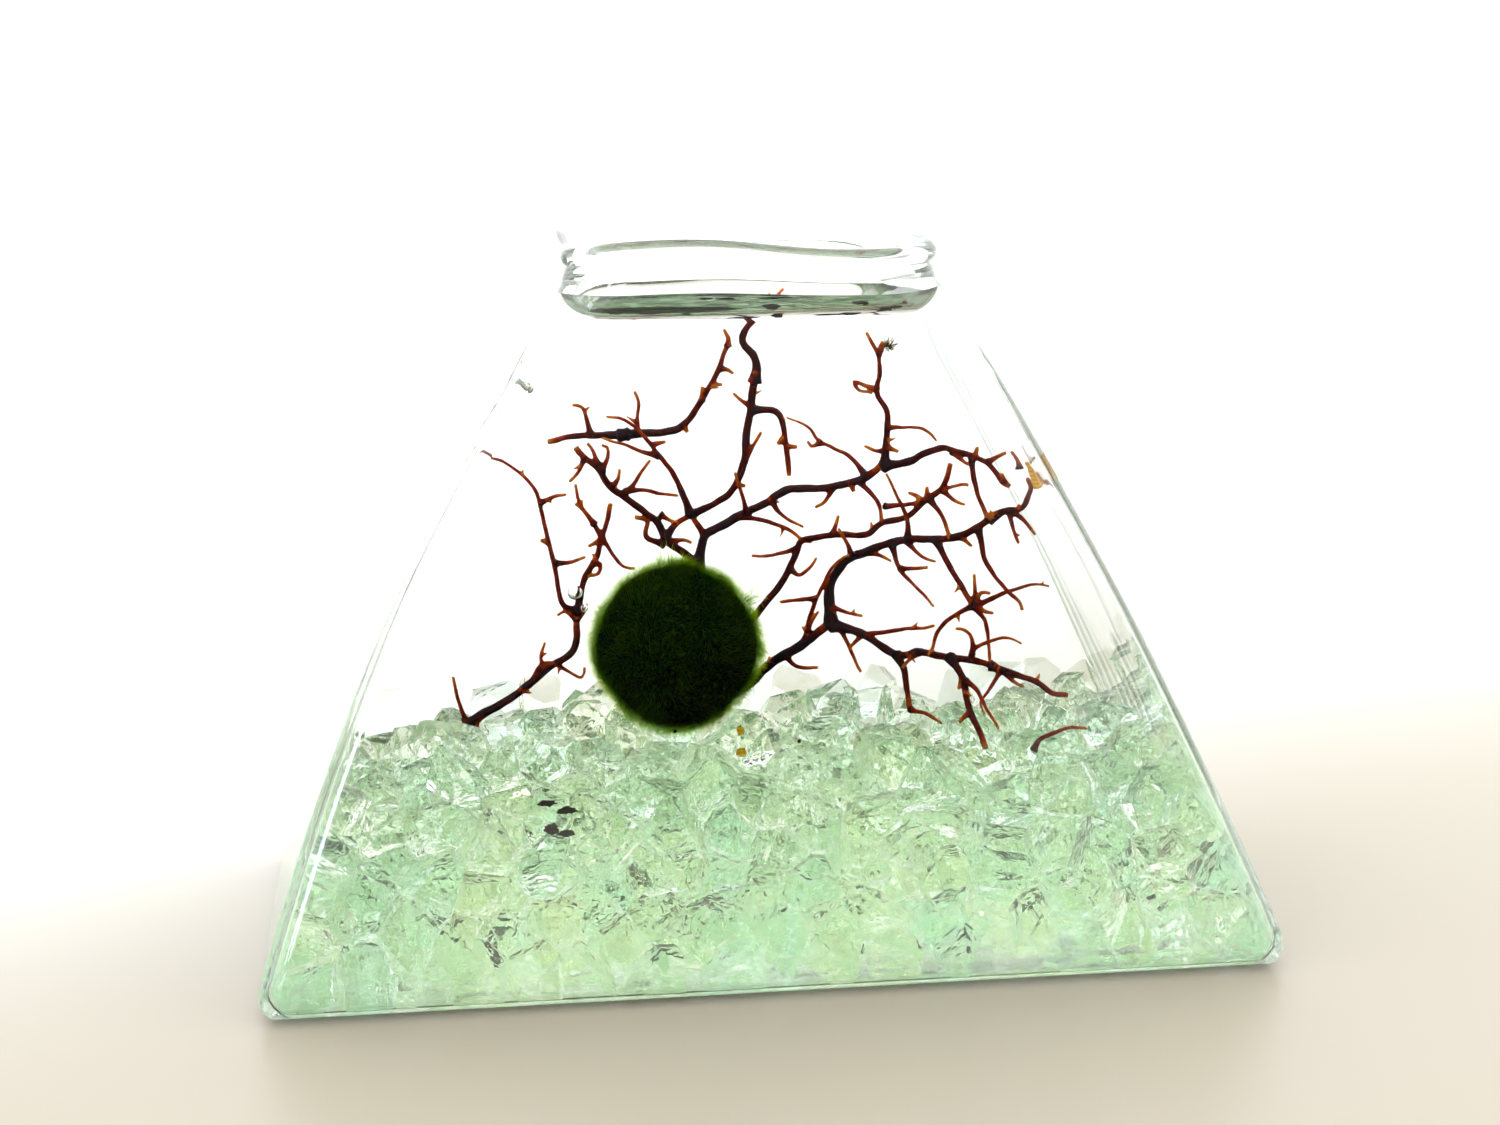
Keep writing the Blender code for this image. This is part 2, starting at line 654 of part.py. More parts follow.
def branch_line(branch):
    """Smooth points in mm along a branch, with the radius at each."""
    pixels = branch["pixels"]
    near, far = branch["shift"]
    count = len(pixels)
    knots = []
    for i, pixel in enumerate(pixels):
        shift = near + (far - near) * i / (count - 1)
        knots.append(seen_at(pixel, fan_depth(pixel[0]) + shift))
    padded = [2 * knots[0] - knots[1]] + knots + [2 * knots[-1] - knots[-2]]
    points = []
    for i in range(count - 1):
        steps = max(1, round((knots[i + 1] - knots[i]).length / FAN_STEP))
        for step in range(steps):
            points.append(catmull_rom(*padded[i:i + 4], step / steps))
    points.append(knots[-1])
    if branch["trim"]:
        points = trimmed(points, branch["trim"])
    base, tip = branch["radii"]
    last = len(points) - 1
    radii = [base + (tip - base) * i / last for i in range(last + 1)]
    return [keep_inside(point, radius) for point, radius in zip(points, radii)], radii


def trimmed(points, length):
    """The line without its first millimetres."""
    points = list(points)
    while (points[1] - points[0]).length <= length:
        length -= (points[1] - points[0]).length
        points.pop(0)
    points[0] = points[0].lerp(points[1], length / (points[1] - points[0]).length)
    return points


def lengthened(points, length):
    """The line with both its ends drawn out."""
    first = points[0] + (points[0] - points[1]).normalized() * length
    last = points[-1] + (points[-1] - points[-2]).normalized() * length
    return [first] + points[1:-1] + [last]


def tube(name, points, radii, sides, group):
    """Closed mesh tube along a line, with its own radius at each point."""
    curve = bpy.data.curves.new(name, "CURVE")
    curve.dimensions = "3D"
    curve.bevel_depth = MM
    curve.bevel_resolution = (sides - 4) // 2
    curve.use_fill_caps = True
    spline = curve.splines.new("POLY")
    spline.points.add(len(points) - 1)
    for knot, point, radius in zip(spline.points, points, radii):
        knot.co = (*(point * MM), 1.0)
        knot.radius = radius
    holder = bpy.data.objects.new(name, curve)
    group.objects.link(holder)
    bm = bmesh.new()
    bm.from_mesh(evaluated_mesh(holder))
    bmesh.ops.remove_doubles(bm, verts=bm.verts, dist=0.000001)
    bpy.data.objects.remove(holder, do_unlink=True)
    return object_from_bmesh(name, bm, group)


def build_fan_piece(name, branches, group, work):
    """One piece of the fan: its limbs and twigs grown together in one solid."""
    tubes = []
    for branch in branches:
        points, radii = branch_line(branch)
        sides = 6 if max(radii) > STOUT else 4
        tubes.append(tube(name, points, radii, sides, work))
    piece = tubes.pop(0)
    work.objects.unlink(piece)
    group.objects.link(piece)
    piece.name = name
    if tubes:
        combine(piece, tubes, "UNION")
    keep_largest_shell(piece)
    return piece


def fan_room(branches, group):
    """Thin hull around some branches: the room that they take in the water."""
    bm = bmesh.new()
    for branch in branches:
        points, radii = branch_line(branch)
        reach = max(radii) + 1.5 * GAP
        for point in points:
            for corner in product((-reach, reach), repeat=3):
                bm.verts.new((point + Vector(corner)) * MM)
    hull = bmesh.ops.convex_hull(bm, input=bm.verts)
    inner = [item for item in hull["geom_interior"] if isinstance(item, bmesh.types.BMVert)]
    bmesh.ops.delete(bm, geom=inner, context="VERTS")
    bmesh.ops.dissolve_limit(bm, angle_limit=ROOM_FLATNESS, verts=bm.verts, edges=bm.edges)
    return object_from_bmesh("fan_room", bm, group)


# ---------------------------------------------------------------- assembly

def main():
    clear_scene()
    parts = new_collection("marimo_bowl")
    work = new_collection("cutters")
    glass = make_material("clear_glass", COLOURS["glass"], 0.03, 1.0, 1.5)
    water = make_material("water", COLOURS["water"], 0.0, 1.0, WATER_INDEX)
    chips = make_material("crushed_glass", COLOURS["chips"], 0.2, 0.5, 1.5)
    moss = make_material("green_moss", COLOURS["moss"], 0.9)
    fan = make_material("sea_fan_stem", COLOURS["fan"], 0.6)
    build_bowl(parts).data.materials.append(glass)
    build_bed(parts, work).data.materials.append(chips)
    build_water(parts, work).data.materials.append(water)
    build_ball(parts).data.materials.append(moss)
    for name, branches in SEA_FAN.items():
        piece = build_fan_piece(name, branches, parts, work)
        piece.data.materials.append(fan)
    bpy.data.collections.remove(work)


main()
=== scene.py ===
"""Marimo moss ball in its glass bowl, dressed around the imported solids.

Lengths are in millimetres where they are named, and MM turns them into the scene's metres.
The bowl stands on z = 0 with its broad front toward -Y. Light comes from behind, as from a
bright window, so glass and water show by their edges and the plants show dark against it.
"""
import math
import random
from itertools import product

import bmesh
import bpy
import numpy as np
from mathutils import Matrix, Vector, geometry, kdtree, noise


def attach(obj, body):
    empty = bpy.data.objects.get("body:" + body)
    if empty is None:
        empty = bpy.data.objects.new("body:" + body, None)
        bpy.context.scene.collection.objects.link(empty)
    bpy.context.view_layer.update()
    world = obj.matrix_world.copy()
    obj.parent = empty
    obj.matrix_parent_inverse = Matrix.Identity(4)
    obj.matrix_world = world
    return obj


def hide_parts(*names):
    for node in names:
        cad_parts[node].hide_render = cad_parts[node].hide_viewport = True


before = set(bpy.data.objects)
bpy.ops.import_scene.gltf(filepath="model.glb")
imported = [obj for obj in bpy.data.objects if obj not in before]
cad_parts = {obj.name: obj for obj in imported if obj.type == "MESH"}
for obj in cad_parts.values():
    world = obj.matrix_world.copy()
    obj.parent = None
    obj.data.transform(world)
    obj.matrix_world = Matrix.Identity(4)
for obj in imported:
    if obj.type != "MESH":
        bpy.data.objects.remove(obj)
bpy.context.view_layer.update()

MM = 0.001
noise.seed_set(2)  # fixes how branches wander and how the moss is combed

# The bowl's outer form
BASE_WIDTH = 96.7
BASE_DEPTH = 56.0
NECK_WIDTH = 33.0
NECK_DEPTH = 38.0
NECK_HEIGHT = 66.0
SWELL = 2.4  # how far the left and right sides bow out half way up
FACE_SWELL = 0.3  # and the front and rear
LEAN = 0.85  # how far the mouth's middle is left of the base's
LEAN_BOW = 0.8  # and how much farther left the middle is half way up
LEAN_START = 4.0
BODY_CORNER = 2.2
NECK_CORNER = 6.0
CORNER_OPENS = 55.0  # where the upright corners begin to widen toward the round mouth
FOOT_ROUND = 3.4
SHOULDER = 64.4  # where the wall ends and the lip begins
LIP_HEIGHT = 66.9  # middle of the rolled lip
LIP_THIN = 0.85  # lip's radius at the front and rear
LIP_THICK = 1.25  # and at the two ends
LIP_FLARE = 0.5  # lip's middle outside the wall's outer face
LIP_WAVE = 0.5
LIP_CREST = math.radians(67.0)
WAVE_START = 61.0

# The bowl's inner form
WALL = 1.3
FLOOR = 1.1
INNER_ROUND = 2.4
OUTER_SEED = 3.1
INNER_SEED = 7.7
TIGHTEST = 0.2  # a corner's radius isn't let below this
FLOOR_RIPPLE = 0.14
FLOOR_RIPPLE_LENGTH = 4.0
FLOOR_RINGS = (0.6, 1.4, 2.6, 4.0, 5.6, 7.4, 9.4, 11.6, 14.0, 16.6, 19.4, 22.4)
RIPPLE = 0.13  # unevenness of the hand-formed faces
RIPPLE_LENGTH = 15.0
RIPPLE_FULL = 12.0  # none at the foot, and all of it from this height
RING_STEP = 2.5
CORNER_STEPS = 10
SIDE_POINTS = 16

# Water
WATER_LEVEL = 60.3
WETTING = 0.12  # the water's side lies this far inside the glass, so that no air shows between
MENISCUS_RISE = 3.0
MENISCUS_LENGTH = 1.9
MENISCUS_RINGS = (0.12, 0.2, 0.3, 0.45, 0.6, 0.8, 1.0, 1.3, 1.6, 2.0, 2.5, 3.2, 4.0, 5.2, 6.5,
                  8.5, 11.0, 13.0)
TINY_BUBBLES = (
    (Vector((-21.2, -9.0, 54.2)), 0.50),
    (Vector((-16.8, 6.1, 32.6)), 0.75),
    (Vector((-15.9, 5.9, 31.0)), 0.40),
    (Vector((-14.6, 5.8, 29.4)), 0.30),
    (Vector((-13.3, 5.8, 27.6)), 0.34),
)

# Crushed glass
BED_LEVEL = 20.2
BED_LUMPS = 1.7
BED_BROAD = 13.0  # length of its broad lumps, and of its fine ones
BED_FINE = 4.1
CHIP_SEED = 21
CHIP_SPACING = 3.9
CHIP_REACH = 13.0  # neighbours farther than this can't cut a chip
CHIP_TRIES = 60000
SITE_FROM_WALL = 1.0
SITE_FROM_FLOOR = 1.2
HEADROOM = 5.0  # centres are sown up to this far over the bed; only those in it become chips
CHIP_DEPTH = 1.4  # a chip's centre lies at least this far under the bed's top
CHIP_CLEARANCE = 0.4  # and its centre this far from the ball and the branches
CHIP_WALL_GAP = 0.18
CHIP_BREAKS = (2, 6)  # extra broken faces a chip has, from and to
BREAK_REACH = (1.1, 2.6)  # and how far from its centre they lie
SMALLEST_DISHED = 1.0  # faces narrower than this stay flat
NEARLY_PARALLEL = 1e-5  # planes more parallel than this share no corner
ON_PLANE = 1e-4  # a corner this little outside another plane still counts
WELD = 0.05  # corners nearer than this become one
HALF_TURN_STEPS = 12  # directions in which the walls near a chip are taken, in half a turn
FILM = (0.04, 0.30)  # water between a chip and its neighbour, from and to
DISH = 0.07  # how hollow a chip's broken faces are, as a share of their width

# The moss ball
BALL_RADIUS = 9.0
BALL_CENTRE = Vector((-7.75, -4.0, 28.6))
BALL_DENT = 0.45
DENT_LENGTH = 5.0
BALL_FLATS = (  # way out of the ball, and how deep and how wide it is flattened there
    (Vector((-0.75, -0.1, -0.66)), 0.50, 0.40),
    (Vector((0.72, -0.1, -0.70)), 0.45, 0.36),
    (Vector((0.78, -0.1, 0.62)), 0.20, 0.30),
    (Vector((-0.80, -0.1, 0.60)), 0.25, 0.30),
)
CORE_DEPTH = 1.15  # how far the felted inside lies below the fibres' tips
CORE_ROUGHNESS = 0.18
CORE_GRAIN = 14.0
COMB = 1.6  # how much neighbouring threads lean the same way, and how much each its own
UNCOMBED = 0.7
COMB_GRAIN = 2.6
STRAY_SEED = 7
STRAY_ROOT = 0.6  # how deep in the ball loose hairs start
TUFT_SEED = 51
MOSS_THREADS = (  # name, seed, threads, start below the skin, reach over it, lean, half thickness
    ("moss_pile", 5, 14000, (1.1, 1.7), (-0.15, 0.3), 1.4, (0.006, 0.014)),
    ("moss_felt", 6, 18500, (1.1, 1.6), (-0.7, -0.1), 1.8, (0.008, 0.018)),
)
MOSS_TUFTS = (  # way out of the ball, spread, hairs, longest hair in mm
    ((0.80, -0.1, 0.50), 0.035, 34, 2.6),
    ((-0.08, -0.1, 1.00), 0.10, 70, 1.7),
    ((0.10, -0.2, 0.97), 0.05, 26, 1.4),
    ((-0.85, 0.0, 0.45), 0.12, 60, 1.0),
    ((-0.62, 0.0, -0.80), 0.10, 50, 1.5),
    ((-0.30, 0.0, -0.95), 0.10, 40, 1.2),
    ((0.75, 0.0, -0.60), 0.12, 50, 1.1),
    ((1.00, 0.0, -0.10), 0.12, 50, 0.9),
)

# The sea fan is drawn as it is seen from the front through glass and water, in pixels of a
# 1500 x 1125 frame. These values turn a pixel and a depth into a point inside the bowl.
EYE = Vector((-31.95, -242.5, 77.1))
FRAME_CENTRE = (750.0, 562.5)
FOCUS = 2500.0  # pixels, which a lens of 60 mm has over a frame 36 mm wide
LENS = 60.0
SENSOR = 36.0
EYE_TURN = math.radians(-7.67)
EYE_PITCH = math.radians(-9.6)
EYE_ROLL = math.radians(0.65)
WATER_INDEX = 1.333
FAN_BACK = 6.6  # depth of the fan's left half, which stands behind the ball
FAN_FRONT = -9.0
FAN_TURN_START = 740.0
FAN_TURN_END = 1040.0
FAN_STEP = 0.45  # spacing of the points along a branch
WALL_CLEARANCE = 0.5
TWIG_BASE = 0.25
TWIG_TIP = 0.17
FORK_FLARE = 0.8  # how much stouter a branch is where it leaves its stem
KINK = 0.16  # how far branches wander off their smooth line
KINK_BROAD = 3.1  # length of the broad and of the fine kinks
KINK_FINE = 1.1
KNOB_LENGTH = 0.9
KNOBS = 0.16  # unevenness of a branch's radius
THORN_SPACING = 17.0
THORN_LENGTH = (0.3, 1.0)
THORN_RADIUS = (0.15, 0.22)
THORN_POINT = 0.07
FAN_VOXEL = 0.11  # fineness of the skin round the branches
ROOTS_UP_TO = 4.0  # branches this far over the bed's level still keep chips away
ROOT_CLEARANCE = 0.15  # chips keep this far from the branches that stand among them
RIND_TOP = (1031, 461)  # the flake of rind in the fan's right fork
RIND_FOOT = (1040, 488)
RIND_DEPTH = -9.6
RIND_HALF_WIDTH = 0.7
RIND_RIDGES = 9
RIND_ROWS = 37
RIND_COLUMNS = 9
TUFT_PIXEL = (888, 347)
TUFT_HAIRS = 46
CRUMB_GAP = 0.10  # crumbs lie in the water just inside the front wall
CRUMB_HALF = 0.04
BARK_CRUMBS = (  # pixel, and width and height in mm: among the chips, then at the water's edge
    ((547, 803), 1.5, 0.50), ((567, 810), 1.6, 0.60), ((552, 829), 1.2, 0.90),
    ((566, 833), 1.5, 0.55), ((675, 731), 0.3, 0.25), ((799, 741), 0.3, 0.30),
    ((706, 299), 1.2, 0.20), ((726, 299), 1.5, 0.16), ((775, 298), 2.6, 0.16),
    ((771, 307), 1.4, 0.40), ((860, 303), 1.5, 0.30), ((743, 318), 2.4, 0.16),
    ((777, 316), 0.9, 0.35), ((826, 315), 2.6, 0.14), ((850, 314), 1.8, 0.22),
    ((885, 309), 1.2, 0.35), ((896, 307), 1.0, 0.25), ((649, 314), 2.0, 0.16),
    ((615, 313), 1.4, 0.30),
)
RIND_GRAINS = (((740, 730), 0.60, 0.85), ((741, 752), 0.85, 0.75))

# Light and table, in metres
TO_WINDOW = (-0.10, 0.993, -0.07)  # away from what the bowl's front mirrors to the camera
ROOM_LIGHT = 1.8
DIM_SPOT = (0.003, 0.003, 0.003, 1.0)  # what the front mirrors, so no haze lies on the ball
ROOM_FRONT = (0.70, 0.70, 0.70, 1.0)
ROOM_WINDOW = (0.97, 1.0, 1.0, 1.0)
LAMP_PLACE = Vector((-0.80, -1.25, 0.30))
LAMP_AIM = Vector((-0.04, 0.0, 0.02))
LAMP_SIZE = 0.40
LAMP_WATTS = 8.0
TABLE_HALF = 6.0
TABLE_DROP = -0.02  # mm, so that table and bowl don't share a plane
TABLE_PAINTED_LIGHT_WAY = (-0.40, 0.92, 0.0)  # the way toward the window, in which the table pales as painted window light
WHITE = (1.0, 1.0, 1.0, 1.0)
LIGHT_BOUNCES = 72  # light crosses many chips; with fewer bounces they and the edges go dark
MIRROR_BOUNCES = 56  # the glass leads light along its walls to its edges


# ---------------------------------------------------------------- helpers

def colour(code):
    """Linear red, green, blue and alpha of an sRGB hex code."""
    channels = [int(code[i:i + 2], 16) / 255 for i in (0, 2, 4)]
    linear = [c / 12.92 if c <= 0.04045 else ((c + 0.055) / 1.055) ** 2.4 for c in channels]
    return (*linear, 1.0)


def fill(tree, node, inputs):
    """Set or link some of a shader node's inputs."""
    for name, value in inputs.items():
        if isinstance(value, bpy.types.NodeSocket):
            tree.links.new(value, node.inputs[name])
        else:
            node.inputs[name].default_value = value


def add_node(tree, kind, settings=None, inputs=None):
    """Add a shader node with its properties and inputs."""
    node = tree.nodes.new("ShaderNode" + kind)
    for name, value in (settings or {}).items():
        setattr(node, name, value)
    fill(tree, node, inputs or {})
    return node


def blend(tree, share, low, high):
    """Colour between two, by a share from 0 to 1."""
    mix = add_node(tree, "Mix", {"data_type": "RGBA"}, {"Factor": share, 6: low, 7: high})
    return mix.outputs[2]


def value_of(tree, name):
    """The number that a mesh carries at each point under a name."""
    return add_node(tree, "Attribute", {"attribute_name": name}).outputs["Fac"]


def new_material(name):
    """An empty material, its node tree and its Principled shader."""
    material = bpy.data.materials.new(name)
    material.use_nodes = True
    tree = material.node_tree
    return material, tree, tree.nodes["Principled BSDF"]


def add_object(name, data):
    """Put a mesh, lamp or camera into the scene."""
    obj = bpy.data.objects.new(name, data)
    bpy.context.scene.collection.objects.link(obj)
    return obj


def mesh_object(name, verts, faces, smooth=True):
    """An object from points in millimetres."""
    mesh = bpy.data.meshes.new(name)
    mesh.from_pydata([tuple(vert) for vert in np.asarray(verts, float) * MM], [], faces)
    mesh.validate()
    if smooth:
        mesh.shade_smooth()
    return add_object(name, mesh)


def store(mesh, name, values):
    """Put a number on each point of a mesh, for its material to read."""
    layer = mesh.attributes.new(name, "FLOAT", "POINT")
    layer.data.foreach_set("value", np.asarray(values, np.float32))


def round_ball(subdivisions, radius=1.0):
    """Points and faces of a ball round the origin."""
    bm = bmesh.new()
    bmesh.ops.create_icosphere(bm, subdivisions=subdivisions, radius=radius)
    points = [vert.co.copy() for vert in bm.verts]
    faces = [tuple(vert.index for vert in face.verts) for face in bm.faces]
    bm.free()
    return points, faces


def add_part(verts, faces, part_verts, part_faces):
    """Add points and faces to a mesh that is being gathered."""
    first = len(verts)
    faces += [tuple(first + i for i in face) for face in part_faces]
    verts += part_verts


def dress(obj, material, slot, *nodes):
    """Give a piece its finish, and let it stand for the solids that it covers."""
    obj.data.materials.clear()
    obj.data.materials.append(material)
    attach(obj, "root")
    if nodes:
        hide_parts(*nodes)


# ---------------------------------------------------------------- camera, light and table

def place_camera():
    """Camera at the eye from which the sea fan is drawn."""
    lens = bpy.data.cameras.new("camera")
    lens.lens = LENS
    lens.sensor_width = SENSOR
    lens.clip_start = 0.01
    lens.clip_end = 20.0
    camera = add_object("camera", lens)
    turn = eye_turn().to_4x4() @ Matrix.Rotation(math.pi / 2, 4, "X")
    camera.matrix_world = Matrix.Translation(EYE * MM) @ turn
    bpy.context.scene.camera = camera


def light_room():
    """White all round, brightest behind the bowl and to its left, dimmer behind the camera."""
    world = bpy.data.worlds.new("room")
    bpy.context.scene.world = world
    world.use_nodes = True
    tree = world.node_tree
    direction = add_node(tree, "TexCoord")
    toward = add_node(tree, "VectorMath", {"operation": "DOT_PRODUCT"},
                      {0: direction.outputs["Generated"], 1: TO_WINDOW})
    share = add_node(tree, "MapRange", None, {"Value": toward.outputs["Value"], "From Min": -1.0,
                                              "From Max": 1.0, "To Min": 0.0, "To Max": 1.0})
    tone = add_node(tree, "ValToRGB", None, {"Fac": share.outputs["Result"]})
    ramp = tone.color_ramp
    ramp.interpolation = "EASE"
    ramp.elements[0].position = 0.004
    ramp.elements[0].color = DIM_SPOT
    ramp.elements.new(0.02).color = ROOM_FRONT
    ramp.elements[-1].position = 0.65
    ramp.elements[-1].color = ROOM_WINDOW
    fill(tree, tree.nodes["Background"], {"Color": tone.outputs["Color"], "Strength": ROOM_LIGHT})


def hang_window_lamp():
    """Soft bluish light from a side window, which the glass and the branches mirror faintly."""
    lamp = bpy.data.lights.new("window", "AREA")
    lamp.shape = "SQUARE"
    lamp.size = LAMP_SIZE
    lamp.energy = LAMP_WATTS
    lamp.color = colour("DCEBFF")[:3]
    holder = add_object("window", lamp)
    holder.location = LAMP_PLACE
    holder.rotation_euler = (LAMP_AIM - LAMP_PLACE).to_track_quat("-Z", "Y").to_euler()


def lay_table():
    """Pale painted table top: cream near the bowl, darkened there a little as painted shade, and paling
    to white toward the window as painted window light.
    """
    corners = [(-TABLE_HALF, -TABLE_HALF, 0.0), (TABLE_HALF, -TABLE_HALF, 0.0),
               (TABLE_HALF, TABLE_HALF, 0.0), (-TABLE_HALF, TABLE_HALF, 0.0)]
    mesh = bpy.data.meshes.new("table")
    mesh.from_pydata(corners, [], [(0, 1, 2, 3)])
    table = add_object("table", mesh)
    table.location.z = TABLE_DROP * MM
    material, tree, shader = new_material("painted_table")
    place = add_node(tree, "NewGeometry")
    away = add_node(tree, "VectorMath", {"operation": "DOT_PRODUCT"},
                    {0: place.outputs["Position"], 1: TABLE_PAINTED_LIGHT_WAY})
    far = add_node(tree, "MapRange", {"interpolation_type": "SMOOTHSTEP"},
                   {"Value": away.outputs["Value"], "From Min": -0.02, "From Max": 0.15,
                    "To Min": 0.0, "To Max": 1.0})
    # Cream with painted shade near the bowl, white as painted window light toward the back
    tone = blend(tree, far.outputs["Result"], colour("BAAF9D"), WHITE)
    fill(tree, shader, {"Base Color": tone, "Roughness": 0.35, "Specular IOR Level": 0.35})
    mesh.materials.append(material)


# ---------------------------------------------------------------- the bowl's shape

def outer_half(z):
    """Half width and half depth of the bowl's outer face at a height."""
    part = z / NECK_HEIGHT
    bow = math.sin(math.pi * part)
    half_x = (BASE_WIDTH + (NECK_WIDTH - BASE_WIDTH) * part) / 2 + SWELL * bow
    half_y = (BASE_DEPTH + (NECK_DEPTH - BASE_DEPTH) * part) / 2 + FACE_SWELL * bow
    return half_x, half_y


def middle_x(z):
    """Middle of the bowl at a height: the hand-formed bowl leans a little to the left."""
    part = max(z - LEAN_START, 0.0) / (NECK_HEIGHT - LEAN_START)
    return -LEAN * part - LEAN_BOW * math.sin(math.pi * part)


def corner_radius(z):
    """Radius of the upright corners: tight in the body, open at the mouth."""
    part = min(max((z - CORNER_OPENS) / (NECK_HEIGHT - CORNER_OPENS), 0.0), 1.0)
    return BODY_CORNER + (NECK_CORNER - BODY_CORNER) * part * part * (3 - 2 * part)


def lip_wave(point):
    """The lip's slow unevenness around the mouth."""
    angle = math.atan2(point.y, point.x)
    wave = math.cos(4 * (angle - LIP_CREST)) + 0.35 * math.sin(3 * angle + 0.4)
    rise = min(max((point.z - WAVE_START) / (LIP_HEIGHT - WAVE_START), 0.0), 1.0)
    return LIP_WAVE * wave * rise


def level_way(angle):
    """Level direction at an angle from +X toward +Y."""
    return Vector((math.cos(angle), math.sin(angle), 0.0))


def rounded_ring(half_x, half_y, radius, z):
    """Points around a rectangle with round corners, each with the way out at it."""
    arcs = []
    for quarter in range(4):
        sign_x = 1 if quarter in (0, 3) else -1
        sign_y = 1 if quarter in (0, 1) else -1
        centre_x = middle_x(z) + sign_x * (half_x - radius)
        centre = Vector((centre_x, sign_y * (half_y - radius), z))
        ways = [level_way((quarter + step / CORNER_STEPS) * math.pi / 2)
                for step in range(CORNER_STEPS + 1)]
        arcs.append([(centre + radius * way, way) for way in ways])
    ring = []
    for quarter, arc in enumerate(arcs):
        start = arc[-1][0]
        end = arcs[(quarter + 1) % 4][0][0]
        way = level_way((quarter + 1) * math.pi / 2)
        ring += arc
        ring += [(start.lerp(end, step / (SIDE_POINTS + 1)), way)
                 for step in range(1, SIDE_POINTS + 1)]
    return ring


def ripple(point, seed):
    """Slow unevenness of a face, in mm outward, none at the foot."""
    fade = min(max(point.z / RIPPLE_FULL, 0.0), 1.0)
    return RIPPLE * fade * noise.noise(point / RIPPLE_LENGTH + Vector((seed, 0.0, 2 * seed)))


def wall_ring(z, inset, seed):
    """Ring that lies a given distance inside the outer face."""
    half_x, half_y = outer_half(z)
    radius = max(corner_radius(z) - inset, TIGHTEST)
    shaped = []
    for point, way in rounded_ring(half_x - inset, half_y - inset, radius, z):
        moved = point + way * ripple(point, seed)
        moved.z += lip_wave(point)
        shaped.append(moved)
    return shaped


def quarter_round(radius, steps):
    """Inset and rise of the points along a quarter circle, from its flat end."""
    points = []
    for step in range(steps + 1):
        angle = math.pi / 2 * step / steps
        points.append((radius * (1 - math.sin(angle)), radius * (1 - math.cos(angle))))
    return points


def closed_skin(rings):
    """Points and faces of the skin through rings that have equal point counts."""
    count = len(rings[0])
    verts = [point for ring in rings for point in ring]
    last = (len(rings) - 1) * count
    faces = []
    for low in range(0, last, count):
        high = low + count
        for i in range(count):
            j = (i + 1) % count
            faces.append((low + i, low + j, high + j, high + i))
    faces.append(tuple(range(count))[::-1])
    faces.append(tuple(range(last, last + count)))
    return verts, faces


def lip_ring(angle):
    """One ring of the rolled lip, which is thicker at the mouth's two ends."""
    half_x, half_y = (half + LIP_FLARE for half in outer_half(LIP_HEIGHT))
    shaped = []
    for point, way in rounded_ring(half_x, half_y, NECK_CORNER + LIP_FLARE, LIP_HEIGHT):
        side = math.cos(math.atan2(point.y, point.x)) ** 2
        radius = LIP_THIN + (LIP_THICK - LIP_THIN) * side
        moved = point + way * (radius * math.cos(angle))
        moved.z += radius * math.sin(angle)
        moved.z += lip_wave(point)
        shaped.append(moved)
    return shaped


def heights(low, high):
    """Evenly spaced heights of a wall's rings."""
    count = max(1, round((high - low) / RING_STEP))
    return [low + (high - low) * i / count for i in range(count + 1)]


def floor_rings(z, inset):
    """Rings that carry a skin in over the uneven inner floor, from the edge to the middle."""
    rings = []
    for step in FLOOR_RINGS:
        ring = wall_ring(z, inset + INNER_ROUND + step, INNER_SEED)
        fade = min(step / 3.0, 1.0)
        for point in ring:
            spot = Vector((point.x, point.y, 0.0)) / FLOOR_RIPPLE_LENGTH
            point.z += FLOOR_RIPPLE * fade * noise.noise(spot)
        rings.append(ring)
    return rings


def build_bowl():
    """One closed skin: foot, outer wall, rolled lip, inner wall and inner floor."""
    rings = [wall_ring(rise, inset, OUTER_SEED) for inset, rise in quarter_round(FOOT_ROUND, 8)]
    rings += [wall_ring(z, 0.0, OUTER_SEED) for z in heights(FOOT_ROUND, SHOULDER)[1:]]
    rings += [lip_ring(math.radians(degrees)) for degrees in range(-60, 211, 15)]
    inner = heights(FLOOR + INNER_ROUND, SHOULDER)[1:]
    rings += [wall_ring(z, WALL, INNER_SEED) for z in reversed(inner)]
    inner_foot = [wall_ring(FLOOR + rise, WALL + inset, INNER_SEED)
                  for inset, rise in quarter_round(INNER_ROUND, 6)]
    rings += reversed(inner_foot)
    rings += floor_rings(FLOOR, WALL)
    return mesh_object("glass_bowl_skin", *closed_skin(rings))


# ---------------------------------------------------------------- water

def build_water():
    """One body of water from the bowl's floor, between the chips, to its curved surface."""
    side = WALL - WETTING
    rings = floor_rings(FLOOR - WETTING, side)[::-1]
    rings += [wall_ring(FLOOR - WETTING + rise, side + inset, INNER_SEED)
              for inset, rise in quarter_round(INNER_ROUND, 6)]
    rings += [wall_ring(z, side, INNER_SEED)
              for z in heights(FLOOR + INNER_ROUND, WATER_LEVEL + MENISCUS_RISE)[1:]]
    for inset in MENISCUS_RINGS:
        rise = MENISCUS_RISE * math.exp(-(inset - WETTING) / MENISCUS_LENGTH)
        rings.append(wall_ring(WATER_LEVEL + rise, side + inset, INNER_SEED))
    verts, faces = closed_skin(rings)
    for centre, radius in TINY_BUBBLES:
        points, shell = round_ball(3, radius)
        looking_in = [face[::-1] for face in shell]
        add_part(verts, faces, [point + centre for point in points], looking_in)
    return mesh_object("still_water", verts, faces)


# ---------------------------------------------------------------- crushed glass

